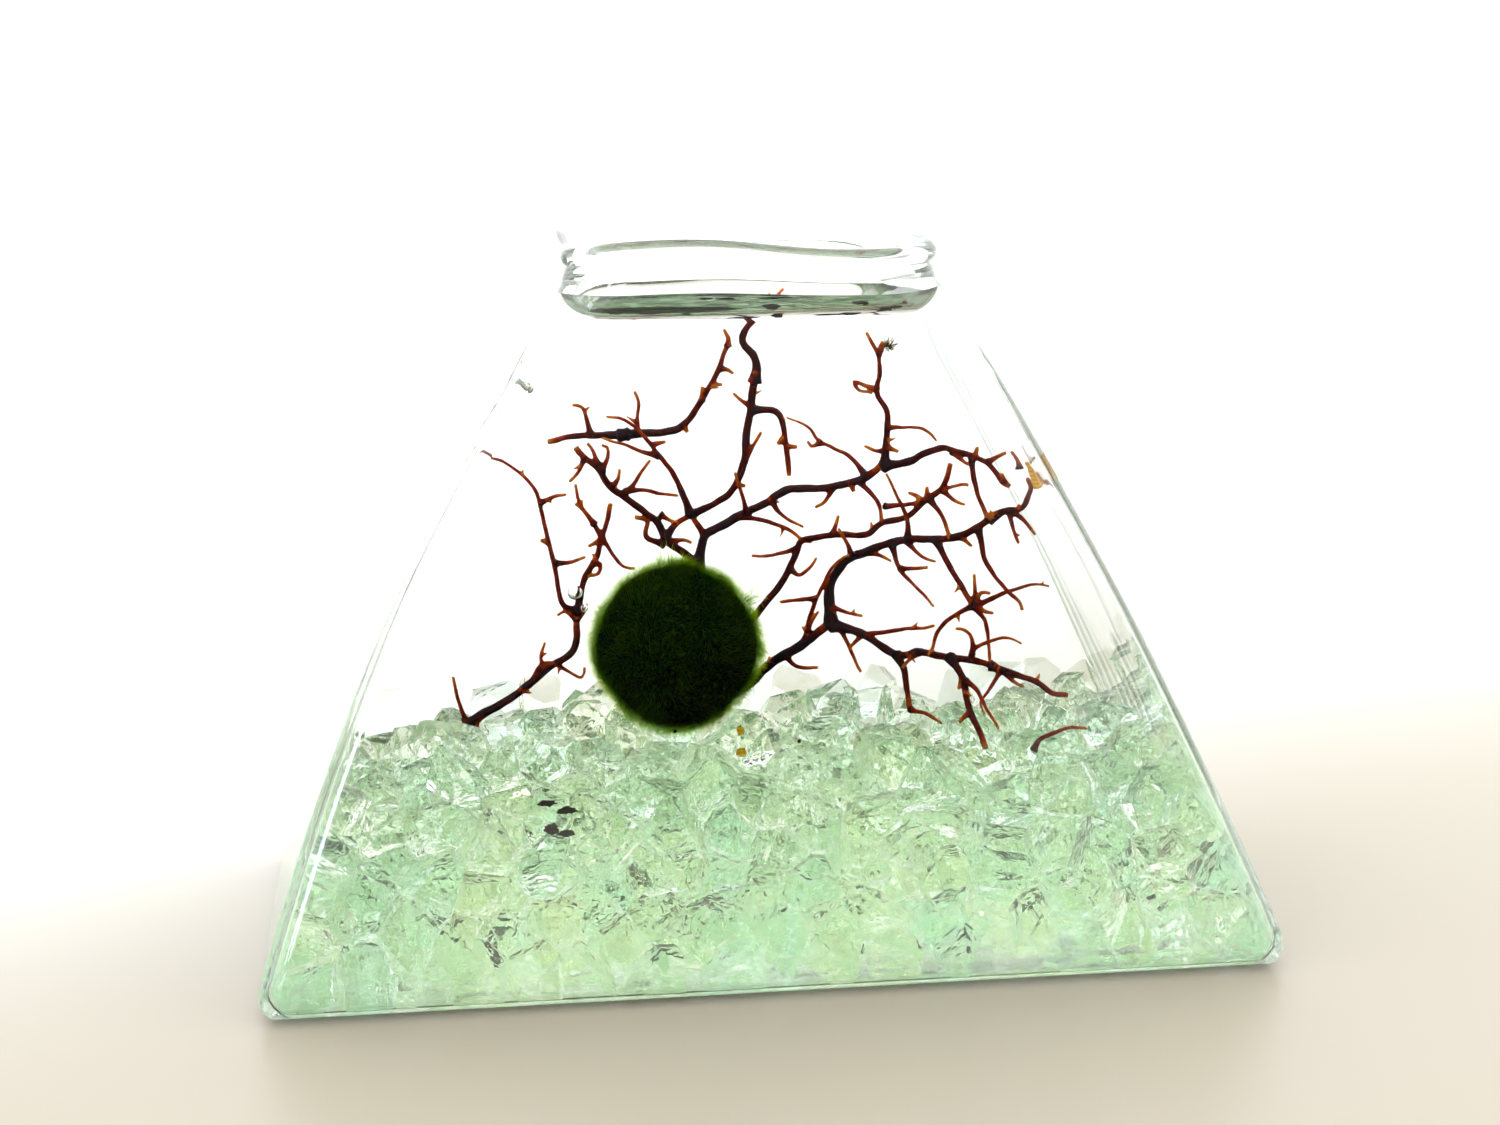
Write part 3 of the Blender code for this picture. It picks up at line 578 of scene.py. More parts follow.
def bed_height(x, y):
    """Uneven top of the crushed-glass bed, in mm."""
    broad = noise.noise(Vector((x / BED_BROAD, y / BED_BROAD, 3.7)))
    fine = noise.noise(Vector((x / BED_FINE, y / BED_FINE, 9.2)))
    return BED_LEVEL + BED_LUMPS * (0.6 * broad + 0.9 * fine)


def inside_wall(point, inset):
    """How far a point is inside the bowl's outer face less an inset, negative outside."""
    half_x, half_y = outer_half(point.z)
    radius = corner_radius(point.z) - inset
    over_x = abs(point.x - middle_x(point.z)) - (half_x - inset - radius)
    over_y = abs(point.y) - (half_y - inset - radius)
    if over_x > 0 and over_y > 0:
        return radius - math.hypot(over_x, over_y)
    return radius - max(over_x, over_y)


def scatter_sites(rng):
    """Chip centres, no two nearer than the spacing, in the bed and in the space over it."""
    low = Vector((-BASE_WIDTH / 2, -BASE_DEPTH / 2, FLOOR))
    size = Vector((BASE_WIDTH, BASE_DEPTH, BED_LEVEL + HEADROOM - FLOOR))
    cell = CHIP_SPACING
    grid = {}
    sites = []
    for _ in range(CHIP_TRIES):
        point = low + Vector((rng.random() * size.x, rng.random() * size.y,
                              rng.random() * size.z))
        if inside_wall(point, WALL + SITE_FROM_WALL) < 0 or point.z < FLOOR + SITE_FROM_FLOOR:
            continue
        key = tuple(int(c // cell) for c in point)
        near = [other for shift in product((-1, 0, 1), repeat=3)
                for other in grid.get(tuple(k + s for k, s in zip(key, shift)), ())]
        if all((point - other).length > cell for other in near):
            grid.setdefault(key, []).append(point)
            sites.append(point)
    return sites


def side_reach(way, z, inset):
    """How far the bowl's inside reaches from its axis in a level direction."""
    half_x, half_y = outer_half(z)
    radius = corner_radius(z) - inset
    return (way.x * middle_x(z) + abs(way.x) * (half_x - inset - radius)
            + abs(way.y) * (half_y - inset - radius) + radius)


def wall_planes(site):
    """Planes of the bowl's inner faces near a chip, as normal and distance."""
    planes = []
    lift = 0.5
    inset = WALL + CHIP_WALL_GAP
    for step in range(2 * HALF_TURN_STEPS):
        way = level_way(step * math.pi / HALF_TURN_STEPS)
        reach = side_reach(way, site.z, inset)
        slope = (side_reach(way, site.z + lift, inset) - reach) / lift
        normal = Vector((way.x, way.y, -slope)).normalized()
        touch = way * reach + Vector((0.0, 0.0, site.z))
        planes.append((normal, normal.dot(touch)))
        foot = (way + Vector((0.0, 0.0, -1.0))).normalized()
        corner = way * (side_reach(way, FLOOR, inset) - INNER_ROUND)
        corner.z += FLOOR + INNER_ROUND
        planes.append((foot, foot.dot(corner) + INNER_ROUND))
    planes.append((Vector((0.0, 0.0, -1.0)), -(FLOOR + CHIP_WALL_GAP)))
    return planes


def chip_shape(site, planes):
    """Points of the closed convex chip that the planes leave round its centre."""
    shifted = [Vector((*normal, -(distance - normal.dot(site)))) for normal, distance in planes]
    points, _ = geometry.points_in_planes(shifted, NEARLY_PARALLEL, ON_PLANE)
    return [Vector(point) + site for point in points]


def add_chip(verts, faces, points, rng):
    """Add the hull of a chip's corners, with broken faces dished a little; return its points."""
    if len(points) < 5:
        return 0
    bm = bmesh.new()
    for point in points:
        bm.verts.new(point)
    bmesh.ops.remove_doubles(bm, verts=bm.verts, dist=WELD)
    if len(bm.verts) < 5:
        bm.free()
        return 0
    bmesh.ops.convex_hull(bm, input=bm.verts)
    loose = [vert for vert in bm.verts if not vert.link_faces]
    bmesh.ops.delete(bm, geom=loose, context="VERTS")
    bmesh.ops.dissolve_limit(bm, angle_limit=math.radians(4), verts=bm.verts, edges=bm.edges)
    bmesh.ops.recalc_face_normals(bm, faces=bm.faces)
    for face in list(bm.faces):
        width = math.sqrt(face.calc_area())
        if width > SMALLEST_DISHED:
            bmesh.ops.poke(bm, faces=[face], offset=-width * DISH * rng.random(),
                           center_mode="MEAN")
    bm.verts.index_update()
    part = [tuple(vert.index for vert in face.verts) for face in bm.faces]
    made = len(bm.verts)
    add_part(verts, faces, [vert.co.copy() for vert in bm.verts], part)
    bm.free()
    return made


def random_way(rng):
    """A direction, as likely to be any one as another."""
    while True:
        way = Vector((rng.uniform(-1, 1), rng.uniform(-1, 1), rng.uniform(-1, 1)))
        if 0.1 < way.length < 1:
            return way.normalized()


def build_chips(obstacles):
    """Broken glass that fills the bowl's foot: each chip is what is nearest to its centre."""
    rng = random.Random(CHIP_SEED)
    sites = scatter_sites(rng)
    tree = kdtree.KDTree(len(sites))
    for i, site in enumerate(sites):
        tree.insert(site, i)
    tree.balance()
    verts = []
    faces = []
    tints = []
    for i, site in enumerate(sites):
        if site.z > bed_height(site.x, site.y) - CHIP_DEPTH:
            continue
        if any((site - centre).length < radius + CHIP_CLEARANCE for centre, radius in obstacles):
            continue
        planes = wall_planes(site)
        for other, j, _ in tree.find_range(site, CHIP_REACH):
            if j != i:
                normal = (other - site).normalized()
                film = rng.uniform(*FILM)
                planes.append((normal, normal.dot((other + site) / 2) - film))
        for centre, radius in obstacles:
            gap = centre - site
            if gap.length < radius + CHIP_REACH / 2:
                normal = gap.normalized()
                planes.append((normal, normal.dot(centre) - radius))
        for _ in range(rng.randint(*CHIP_BREAKS)):
            normal = random_way(rng)
            planes.append((normal, normal.dot(site) + rng.uniform(*BREAK_REACH)))
        made = add_chip(verts, faces, chip_shape(site, planes), rng)
        tints += [rng.random()] * made
    chips = mesh_object("glass_chips", verts, faces, smooth=False)
    store(chips.data, "tint", tints)
    return chips


# ---------------------------------------------------------------- the moss ball

def ball_radius(way):
    """Radius over the tips of the fibres in a direction; the ball is uneven."""
    radius = BALL_RADIUS - BALL_DENT * (0.5 + 0.5 * noise.noise(way * BALL_RADIUS / DENT_LENGTH))
    for flat, depth, width in BALL_FLATS:
        radius -= depth * math.exp(-(way.angle(flat) / width) ** 2)
    return radius


def build_moss_core():
    """The felted inside of the ball, below the tips of its threads."""
    ways, faces = round_ball(6)
    verts = []
    for way in ways:
        way.normalize()
        rough = CORE_ROUGHNESS * noise.noise(way * CORE_GRAIN)
        verts.append(BALL_CENTRE + way * (ball_radius(way) - CORE_DEPTH + rough))
    return mesh_object("moss_core", verts, faces)


def random_ways(rng, count):
    """Many directions as one array."""
    ways = rng.normal(size=(count, 3))
    return ways / np.linalg.norm(ways, axis=1)[:, None]


def thread_mesh(name, roots, middles, tips, thick, hues):
    """Three-sided tapered threads, with how far along a point is and how bright its thread."""
    count = len(roots)
    along = tips - roots
    rng = np.random.default_rng(count)
    side = np.cross(along, random_ways(rng, count))
    side /= np.linalg.norm(side, axis=1)[:, None]
    other = np.cross(along, side)
    other /= np.linalg.norm(other, axis=1)[:, None]
    corners = []
    for base, share in ((roots, 1.0), (middles, 0.8)):
        for k in range(3):
            angle = k * 2 * math.pi / 3
            spoke = side * math.cos(angle) + other * math.sin(angle)
            corners.append(base + spoke * (thick * share)[:, None])
    corners.append(tips)
    points = np.stack(corners, axis=1).reshape(-1, 3)
    pattern = [(2, 1, 0), (0, 1, 4), (0, 4, 3), (1, 2, 5), (1, 5, 4), (2, 0, 3), (2, 3, 5),
               (3, 4, 6), (4, 5, 6), (5, 3, 6)]
    starts = np.arange(count) * len(corners)
    triangles = (starts[:, None, None] + np.array(pattern)[None]).reshape(-1, 3)
    threads = mesh_object(name, points, triangles.tolist())
    # How far along each point is; the material darkens the roots with it as painted shade
    store(threads.data, "tip", np.tile([0.0] * 3 + [0.55] * 3 + [1.0], count))
    store(threads.data, "hue", np.repeat(hues, len(corners)))
    return threads


def build_threads(name, seed, count, depth, reach, lean, thickness):
    """Thin threads that stand out of the ball and lean over.

    depth is how far below the ball's skin a thread starts, and reach how far its tip is from
    the skin, both from and to; lean is how far it bends aside for its length.
    """
    rng = np.random.default_rng(seed)
    ways = random_ways(rng, count)
    skin = np.array([ball_radius(Vector(way)) for way in ways])
    centre = np.array(BALL_CENTRE)
    roots = centre + ways * (skin - rng.uniform(*depth, count))[:, None]
    tips = centre + ways * (skin + rng.uniform(*reach, count))[:, None]
    lengths = np.linalg.norm(tips - roots, axis=1)
    comb = np.array([noise.noise_vector(Vector(way) * COMB_GRAIN) for way in ways])
    aside = random_ways(rng, count) * UNCOMBED + comb * COMB
    aside -= ways * np.sum(aside * ways, axis=1)[:, None]
    aside *= (lengths * lean)[:, None]
    middles = (roots + tips) / 2 + aside * 0.35
    tips = tips + aside
    outward = tips - centre
    limit = (skin + rng.uniform(*reach, count)) / np.linalg.norm(outward, axis=1)
    tips = centre + outward * limit[:, None]
    return thread_mesh(name, roots, middles, tips, rng.uniform(*thickness, count),
                       rng.random(count))


def hair_mesh(name, hairs, thickness, brightness, rng):
    """Threads from a list that gives each one's root, middle and tip."""
    count = len(hairs)
    roots, middles, tips = (np.array(points) for points in zip(*hairs))
    return thread_mesh(name, roots, middles, tips, rng.uniform(*thickness, count),
                       rng.uniform(*brightness, count))


def build_strays():
    """Loose hairs that stand away from the ball in tufts."""
    rng = np.random.default_rng(STRAY_SEED)
    hairs = []
    for way, spread, count, length in MOSS_TUFTS:
        for _ in range(count):
            out = Vector(way).normalized() + Vector(rng.normal(size=3)) * spread
            out.normalize()
            root = BALL_CENTRE + out * (ball_radius(out) - STRAY_ROOT)
            lean = Vector(rng.normal(size=3)) * 0.45
            reach = length * rng.uniform(0.35, 1.0)
            middle = root + (out + lean * 0.3) * reach * 0.55
            hairs.append((root, middle, root + (out + lean) * reach))
    return hair_mesh("moss_strays", hairs, (0.014, 0.026), (0.5, 1.0), rng)


def build_algae_tuft():
    """Golden-green algae that has settled where a twig of the fan ends."""
    rng = np.random.default_rng(TUFT_SEED)
    anchor = seen_at(TUFT_PIXEL, fan_depth(TUFT_PIXEL[0]) - 0.2)
    hairs = []
    for _ in range(TUFT_HAIRS):
        out = Vector(rng.normal(size=3)) + Vector((0.4, 0.0, 0.5))
        out.normalize()
        length = rng.uniform(0.4, 1.3)
        root = anchor + Vector(rng.normal(size=3)) * 0.16
        middle = root + out * length * 0.5 + Vector(rng.normal(size=3)) * 0.12
        hairs.append((root, middle, root + out * length))
    return hair_mesh("algae_tuft", hairs, (0.03, 0.07), (0.3, 1.0), rng)


# ---------------------------------------------------------------- the sea fan

def limb(base, tip, pixels, shift=(0.0, 0.0)):
    """A branch: radius in mm at both ends, its route in pixels, and its depth shift in mm."""
    return {"radii": (base, tip), "pixels": pixels, "shift": shift}


def twig(*pixels, shift=(0.0, 0.0)):
    """A thin side branch."""
    return limb(TWIG_BASE, TWIG_TIP, pixels, shift)


SEA_FAN = {
    "sea_fan_left_stem": [
        limb(0.46, 0.36, [(464, 726), (484, 713), (511, 699), (545, 672), (574, 650), (577, 618)]),
        twig((466, 723), (459, 705), (452, 677)),
        twig((486, 712), (477, 721), (479, 731)),
        twig((543, 673), (541, 657), (546, 642)),
        twig((533, 682), (540, 667), (553, 665), (568, 672), (583, 678), (585, 668)),
        twig((577, 620), (566, 612), (558, 616)),
        twig((577, 620), (585, 611), (588, 603)),
    ],
    "sea_fan_left_outer_branch": [
        limb(0.30, 0.16, [(576, 612), (563, 602), (555, 565), (547, 534), (539, 498), (526, 478),
                          (505, 463), (484, 459)]),
        twig((540, 503), (555, 496), (567, 494)),
        twig((556, 562), (571, 561), (585, 556)),
        twig((548, 541), (540, 539)),
    ],
    "sea_fan_left_inner_branch": [
        limb(0.36, 0.26, [(578, 614), (582, 591), (586, 573), (597, 555), (601, 537), (605, 523),
                          (610, 503)]),
        twig((601, 537), (590, 520), (579, 502), (575, 484)),
        twig((601, 537), (612, 553), (624, 566), (635, 568)),
        twig((593, 525), (582, 510), (575, 504)),
        twig((600, 540), (588, 546)),
        twig((591, 563), (600, 563), (598, 572), (589, 574)),
    ],
    "sea_fan_root_stem": [
        limb(0.46, 0.50, [(715, 714), (717, 692), (714, 660), (705, 615), (698, 574)]),
    ],
    "sea_fan_upper_left_limb": [
        limb(0.42, 0.32, [(698, 572), (688, 556), (665, 540), (657, 523), (641, 510), (620, 495),
                          (607, 484), (597, 469), (582, 457), (575, 448)]),
        limb(0.30, 0.24, [(665, 545), (646, 537), (647, 521), (634, 517)]),
        limb(0.34, 0.30, [(664, 538), (675, 525), (690, 515)]),
        twig((583, 458), (579, 470), (569, 481)),
        twig((598, 466), (592, 453), (586, 444)),
        twig((601, 472), (607, 458), (606, 448), (600, 446)),
        twig((620, 495), (632, 486), (639, 475), (649, 461)),
        twig((623, 492), (644, 491), (660, 494), (678, 496)),
        twig((612, 487), (618, 478), (619, 469)),
        twig((659, 514), (668, 520), (676, 523)),
        twig((668, 542), (684, 541), (692, 544)),
    ],
    "sea_fan_upper_left_arm": [
        limb(0.42, 0.26, [(628, 435), (600, 436), (572, 438), (547, 443)]),
        limb(0.44, 0.26, [(616, 436), (662, 433), (683, 427), (701, 403), (714, 380), (724, 356),
                          (730, 346)]),
        twig((728, 349), (728, 340), (724, 331)),
        twig((589, 435), (585, 418), (580, 408), (571, 406)),
        twig((636, 434), (637, 419), (639, 405), (634, 393)),
        twig((702, 403), (703, 387)),
        twig((719, 369), (728, 371), (733, 375)),
        twig((711, 385), (723, 385)),
        twig((684, 427), (688, 433)),
    ],
    "sea_fan_diagonal_branch": [
        limb(0.34, 0.16, [(690, 515), (683, 497), (673, 476), (657, 455), (641, 435), (623, 420),
                          (605, 418)], (-0.4, -2.2)),
        limb(0.26, 0.14, [(658, 457), (639, 452), (623, 445), (600, 438)], (-1.4, -1.6)),
        twig((650, 447), (658, 444), (665, 442), shift=(-1.6, -1.9)),
    ],
    "sea_fan_middle_riser": [
        limb(0.36, 0.42, [(690, 515), (717, 502), (733, 489), (743, 466), (747, 435), (751, 406),
                          (756, 374)]),
        limb(0.45, 0.34, [(755, 384), (756, 370), (752, 356), (742, 344), (746, 330), (758, 316)]),
        limb(0.26, 0.18, [(752, 321), (774, 301), (792, 284)]),
        limb(0.34, 0.28, [(751, 411), (775, 412), (782, 427), (786, 453), (789, 476)]),
        twig((751, 407), (741, 401), (733, 393)),
        twig((744, 461), (753, 446), (761, 432)),
        twig((784, 441), (776, 444)),
        twig((785, 447), (796, 447)),
        twig((736, 485), (746, 486)),
    ],
    "sea_fan_middle_limb": [
        limb(0.48, 0.40, [(698, 572), (704, 539), (714, 531), (743, 513), (767, 502), (790, 489),
                          (824, 488), (858, 481), (872, 473), (880, 466)]),
        limb(0.32, 0.28, [(705, 540), (699, 530), (690, 515)]),
        limb(0.27, 0.20, [(736, 517), (760, 520), (783, 527), (802, 541)]),
        limb(0.28, 0.14, [(866, 477), (847, 455), (819, 441), (807, 427), (785, 417)]),
        limb(0.27, 0.22, [(858, 481), (877, 502), (882, 524)]),
        twig((745, 512), (741, 492), (734, 471), shift=(-0.3, -1.8)),
        twig((772, 500), (777, 510), (790, 521), (803, 527)),
        twig((821, 442), (810, 446), (806, 441)),
        twig((833, 487), (824, 501), (814, 507)),
        twig((850, 483), (853, 492)),
    ],
    "sea_fan_right_riser": [
        limb(0.38, 0.20, [(884, 465), (887, 432), (886, 410), (877, 393), (880, 370), (877, 354),
                          (866, 334)]),
        limb(0.22, 0.16, [(887, 428), (914, 428), (928, 433), (936, 442)]),
        twig((878, 391), (865, 387), (854, 382), (858, 391), (872, 394)),
        twig((878, 356), (884, 347), (891, 347)),
        twig((880, 352), (882, 342)),
        twig((887, 450), (874, 451), (863, 447)),
        twig((887, 446), (898, 452)),
    ],
    "sea_fan_right_crown": [
        limb(0.42, 0.26, [(883, 466), (908, 463), (925, 455), (942, 449), (953, 451), (987, 463),
                          (1004, 483), (1010, 486)]),
        limb(0.28, 0.24, [(972, 458), (973, 475), (978, 494), (988, 520)]),
        twig((952, 452), (962, 461), (968, 466)),
        twig((988, 463), (996, 459), (1005, 454)),
        twig((974, 459), (977, 448)),
        twig((1004, 482), (1002, 473)),
    ],
    "sea_fan_inner_branch": [
        limb(0.40, 0.30, [(716, 650), (740, 633), (757, 615), (782, 581), (796, 553), (802, 541),
                          (835, 536), (866, 535), (882, 524), (908, 516), (925, 502), (942, 488),
                          (948, 474), (951, 464)]),
        limb(0.25, 0.18, [(884, 506), (914, 504), (936, 493), (960, 485), (968, 486)]),
        limb(0.26, 0.22, [(930, 499), (941, 514), (950, 537)]),
        twig((797, 549), (782, 554), (768, 557), (751, 557)),
        twig((789, 571), (799, 576), (811, 566), (816, 558)),
        twig((832, 536), (835, 526), (838, 516)),
        twig((942, 490), (955, 501), (966, 504)),
        twig((924, 502), (916, 496), (908, 494)),
        twig((928, 499), (928, 486)),
    ],
    "sea_fan_arch_stem": [
        limb(0.52, 0.48, [(730, 690), (750, 681), (769, 665), (796, 648), (819, 631), (826, 626)]),
        limb(0.28, 0.16, [(804, 641), (811, 610), (821, 589), (829, 572), (846, 557)],
             (0.0, -1.4)),
        twig((785, 655), (797, 666), (818, 668)),
        twig((815, 600), (800, 600), (779, 602), shift=(-0.5, -0.5)),
        twig((806, 630), (817, 612), shift=(-0.2, -0.6)),
    ],
    "sea_fan_arch_limb": [
        limb(0.54, 0.34, [(831, 627), (828, 595), (835, 575), (852, 558), (880, 547), (908, 540),
                          (936, 539), (959, 536), (978, 526), (998, 514)]),
        limb(0.37, 0.24, [(988, 520), (1004, 512), (1021, 508), (1029, 491), (1034, 478)]),
        limb(0.28, 0.15, [(892, 544), (895, 556), (900, 570), (914, 587), (934, 607)]),
        limb(0.30, 0.14, [(908, 539), (906, 517), (898, 500), (886, 474)], (-0.3, -2.0)),
        twig((1030, 470), (1017, 461), (1009, 453)),
        twig((852, 557), (846, 543), (838, 529), shift=(-1.0, -1.6)),
        twig((829, 606), (848, 613), (862, 617)),
        twig((899, 569), (915, 568), (928, 567)),
        twig((907, 541), (922, 557), (936, 562)),
        twig((870, 552), (881, 556), (892, 562)),
        twig((960, 537), (972, 546)),
        twig((1008, 512), (1013, 530), (1018, 544)),
        twig((1010, 511), (1023, 521), (1034, 535)),
    ],
    "sea_fan_arch_outer_drop": [
        limb(0.30, 0.20, [(977, 528), (980, 538), (984, 556), (992, 572), (1007, 592), (1018, 602),
                          (1021, 611)]),
    ],
    "sea_fan_arch_inner_drop": [
        limb(0.32, 0.28, [(936, 539), (948, 564), (962, 589), (973, 606)]),
        limb(0.28, 0.14, [(973, 606), (992, 598), (1015, 589), (1032, 584), (1049, 587)],
             (0.0, 2.6)),
        limb(0.26, 0.20, [(973, 606), (950, 617), (936, 634), (931, 653)]),
        limb(0.26, 0.18, [(973, 606), (984, 620), (988, 640), (988, 663)], (0.0, 1.2)),
        twig((974, 603), (974, 588), (974, 574)),
        twig((974, 605), (980, 592), (990, 593)),
        twig((974, 606), (985, 611), (993, 613)),
    ],
    "sea_fan_lower_right_limb": [
        limb(0.46, 0.34, [(831, 625), (861, 634), (894, 654), (920, 652), (948, 657), (973, 660),
                          (998, 668)]),
        limb(0.37, 0.26, [(988, 665), (1004, 670), (1020, 675), (1035, 680), (1051, 692), (1068, 695)]),
        limb(0.26, 0.18, [(864, 636), (897, 630), (915, 628), (934, 626)]),
        limb(0.26, 0.14, [(970, 660), (975, 648), (992, 640), (1009, 637), (1022, 643)],
             (0.0, -1.4)),
        limb(0.24, 0.14, [(1000, 669), (987, 692), (980, 702), (984, 714)], (0.0, -3.0)),
        twig((972, 655), (973, 645), (970, 634), (962, 629), (955, 629), shift=(-0.4, -1.0)),
        twig((838, 627), (849, 648), (855, 662), (861, 672)),
        twig((862, 635), (855, 642), (850, 648)),
        twig((918, 653), (908, 660), (901, 668), shift=(-0.2, -1.2)),
        twig((1005, 671), (1012, 680), (1023, 686)),
    ],
    "sea_fan_front_leg": [
        limb(0.36, 0.30, [(895, 653), (902, 668), (905, 685), (909, 709)], (0.0, -1.2)),
        twig((909, 708), (925, 712), (941, 723), shift=(-1.2, -3.0)),
    ],
    "sea_fan_right_leg": [
        limb(0.40, 0.30, [(949, 656), (962, 675), (967, 705), (976, 727), (985, 748)],
             (0.0, -6.0)),
        limb(0.28, 0.16, [(964, 680), (977, 690), (986, 705), (998, 727)], (-2.0, -6.5)),
        twig((969, 712), (963, 716), (957, 722), shift=(-3.5, -4.2)),
        twig((962, 677), (957, 688), shift=(-1.6, -2.2)),
    ],
    "sea_fan_loose_tip": [
        limb(0.26, 0.17, [(1033, 750), (1037, 740), (1048, 734), (1066, 728), (1086, 728)],
             (-6.0, -6.5)),
    ],
}


LEFT_FAN = ("sea_fan_left_stem", "sea_fan_left_outer_branch", "sea_fan_left_inner_branch")
LOOSE_TIP = ("sea_fan_loose_tip",)
MAIN_FAN = tuple(name for name in SEA_FAN if name not in LEFT_FAN + LOOSE_TIP)
FANS = (  # name, its solids, seed, most triangles
    ("sea_fan", MAIN_FAN, 31, 150000),
    ("sea_fan_left", LEFT_FAN, 32, 40000),
    ("sea_fan_loose", LOOSE_TIP, 33, 4000),
)


def refract(direction, normal, index_ratio):
    """Direction of a ray after it enters the denser side of a surface."""
    facing = -direction.dot(normal)
    inner = math.sqrt(1 - index_ratio ** 2 * (1 - facing ** 2))
    return direction * index_ratio + normal * (index_ratio * facing - inner)


def eye_turn():
    """How the camera is turned from looking straight along +Y."""
    return (Matrix.Rotation(EYE_TURN, 3, "Z") @ Matrix.Rotation(EYE_PITCH, 3, "X")
            @ Matrix.Rotation(EYE_ROLL, 3, "Y"))


def seen_at(pixel, depth):
    """Point in mm that a pixel shows at a depth, looking in through the bowl's front."""
    u = (pixel[0] - FRAME_CENTRE[0]) / FOCUS
    v = (pixel[1] - FRAME_CENTRE[1]) / FOCUS
    direction = (eye_turn() @ Vector((u, 1.0, -v))).normalized()
    slope = (BASE_DEPTH - NECK_DEPTH) / 2 / NECK_HEIGHT
    normal = Vector((0.0, -1.0, slope)).normalized()
    front = Vector((0.0, -BASE_DEPTH / 2, 0.0))
    reach = (front - EYE).dot(normal) / direction.dot(normal)
    entry = EYE + direction * reach
    inside = refract(direction, normal, 1 / WATER_INDEX)
    return entry + inside * ((depth - entry.y) / inside.y)


def fan_depth(u):
    """Depth of the fan in mm where a column of pixels shows it."""
    part = min(max((u - FAN_TURN_START) / (FAN_TURN_END - FAN_TURN_START), 0.0), 1.0)
    return FAN_BACK + (FAN_FRONT - FAN_BACK) * part * part * (3 - 2 * part)


def keep_inside(point, radius):
    """Move a point just clear of the bowl's side walls."""
    half_x, _ = outer_half(point.z)
    limit = half_x - WALL - WALL_CLEARANCE - radius
    middle = middle_x(point.z)
    return Vector((min(max(point.x, middle - limit), middle + limit), point.y, point.z))


def catmull_rom(a, b, c, d, t):
    """Point on the smooth line through b and c, at a share t of the way from b to c."""
    return 0.5 * (2 * b + (c - a) * t + (2 * a - 5 * b + 4 * c - d) * t ** 2
                  + (3 * b - a - 3 * c + d) * t ** 3)


def kink(point):
    """Small wandering of a branch off its line; the same for branches that meet at a point."""
    broad = noise.noise_vector(point / KINK_BROAD)
    fine = noise.noise_vector(point / KINK_FINE + Vector((9.0, 4.0, 1.0)))
    return (broad + fine * 0.45) * KINK


def branch_line(branch):
    """Points in mm along a branch, with the radius at each."""
    pixels = branch["pixels"]
    near, far = branch["shift"]
    count = len(pixels)
    knots = []
    for i, pixel in enumerate(pixels):
        shift = near + (far - near) * i / (count - 1)
        knots.append(seen_at(pixel, fan_depth(pixel[0]) + shift))
    padded = [2 * knots[0] - knots[1]] + knots + [2 * knots[-1] - knots[-2]]
    points = []
    for i in range(count - 1):
        steps = max(1, round((knots[i + 1] - knots[i]).length / FAN_STEP))
        for step in range(steps):
            points.append(catmull_rom(*padded[i:i + 4], step / steps))
    points.append(knots[-1])
    base, tip = branch["radii"]
    last = len(points) - 1
    radii = []
    for i, point in enumerate(points):
        radius = base + (tip - base) * i / last
        along = (point - points[0]).length
        radius *= 1 + FORK_FLARE * math.exp(-along / (2.0 * base))
        radius *= 1 + KNOBS * noise.noise(point / KNOB_LENGTH + Vector((2.0, 7.0, 5.0)))
        radii.append(radius)
    points = [keep_inside(point + kink(point), radius) for point, radius in zip(points, radii)]
    return points, radii


def buried_branches():
    """Balls along the branches that stand in the bed, which its chips keep clear of."""
    balls = []
    for branches in SEA_FAN.values():
        for branch in branches:
            points, radii = branch_line(branch)
            balls += [(point, radius + ROOT_CLEARANCE)
                      for point, radius in zip(points[::2], radii[::2])
                      if point.z < BED_LEVEL + ROOTS_UP_TO]
    return balls


def thorn(branch, radii, rng):
    """A short spur that leaves a branch sideways, mostly in the fan's own plane."""
    i = rng.randrange(2, len(branch) - 2)
    way = (branch[i + 1] - branch[i - 1]).normalized()
    side = way.cross(Vector((0.0, 1.0, 0.0))) * rng.choice((-1, 1))
    side += Vector((0.0, rng.uniform(-0.6, 0.6), 0.0)) + way * rng.uniform(0.1, 0.9)
    side.normalize()
    length = rng.uniform(*THORN_LENGTH)
    bend = random_way(rng) * length * 0.25
    start = branch[i]
    middle = start + side * (radii[i] + length * 0.5) + bend * 0.4
    end = start + side * (radii[i] + length) + bend
    thick = min(radii[i] * 0.8, rng.uniform(*THORN_RADIUS))
    points = [start, start.lerp(middle, 0.6), middle, end]
    return points, [thick * 1.5, thick, thick * 0.8, THORN_POINT]


def tube(points, radii, sides=8):
    """Closed tube along a line, as corners and faces."""
    verts = []
    faces = []
    last = len(points) - 1
    side = (points[1] - points[0]).orthogonal().normalized()
    for i, point in enumerate(points):
        way = (points[min(i + 1, last)] - points[max(i - 1, 0)]).normalized()
        side = (side - way * side.dot(way)).normalized()
        other = way.cross(side)
        for k in range(sides):
            angle = 2 * math.pi * k / sides
            spoke = side * math.cos(angle) + other * math.sin(angle)
            verts.append(point + spoke * radii[i])
    for i in range(last):
        for k in range(sides):
            near = i * sides
            j = (k + 1) % sides
            faces.append((near + k, near + j, near + sides + j, near + sides + k))
    faces.append(tuple(range(sides))[::-1])
    faces.append(tuple(range(last * sides, last * sides + sides)))
    return verts, faces


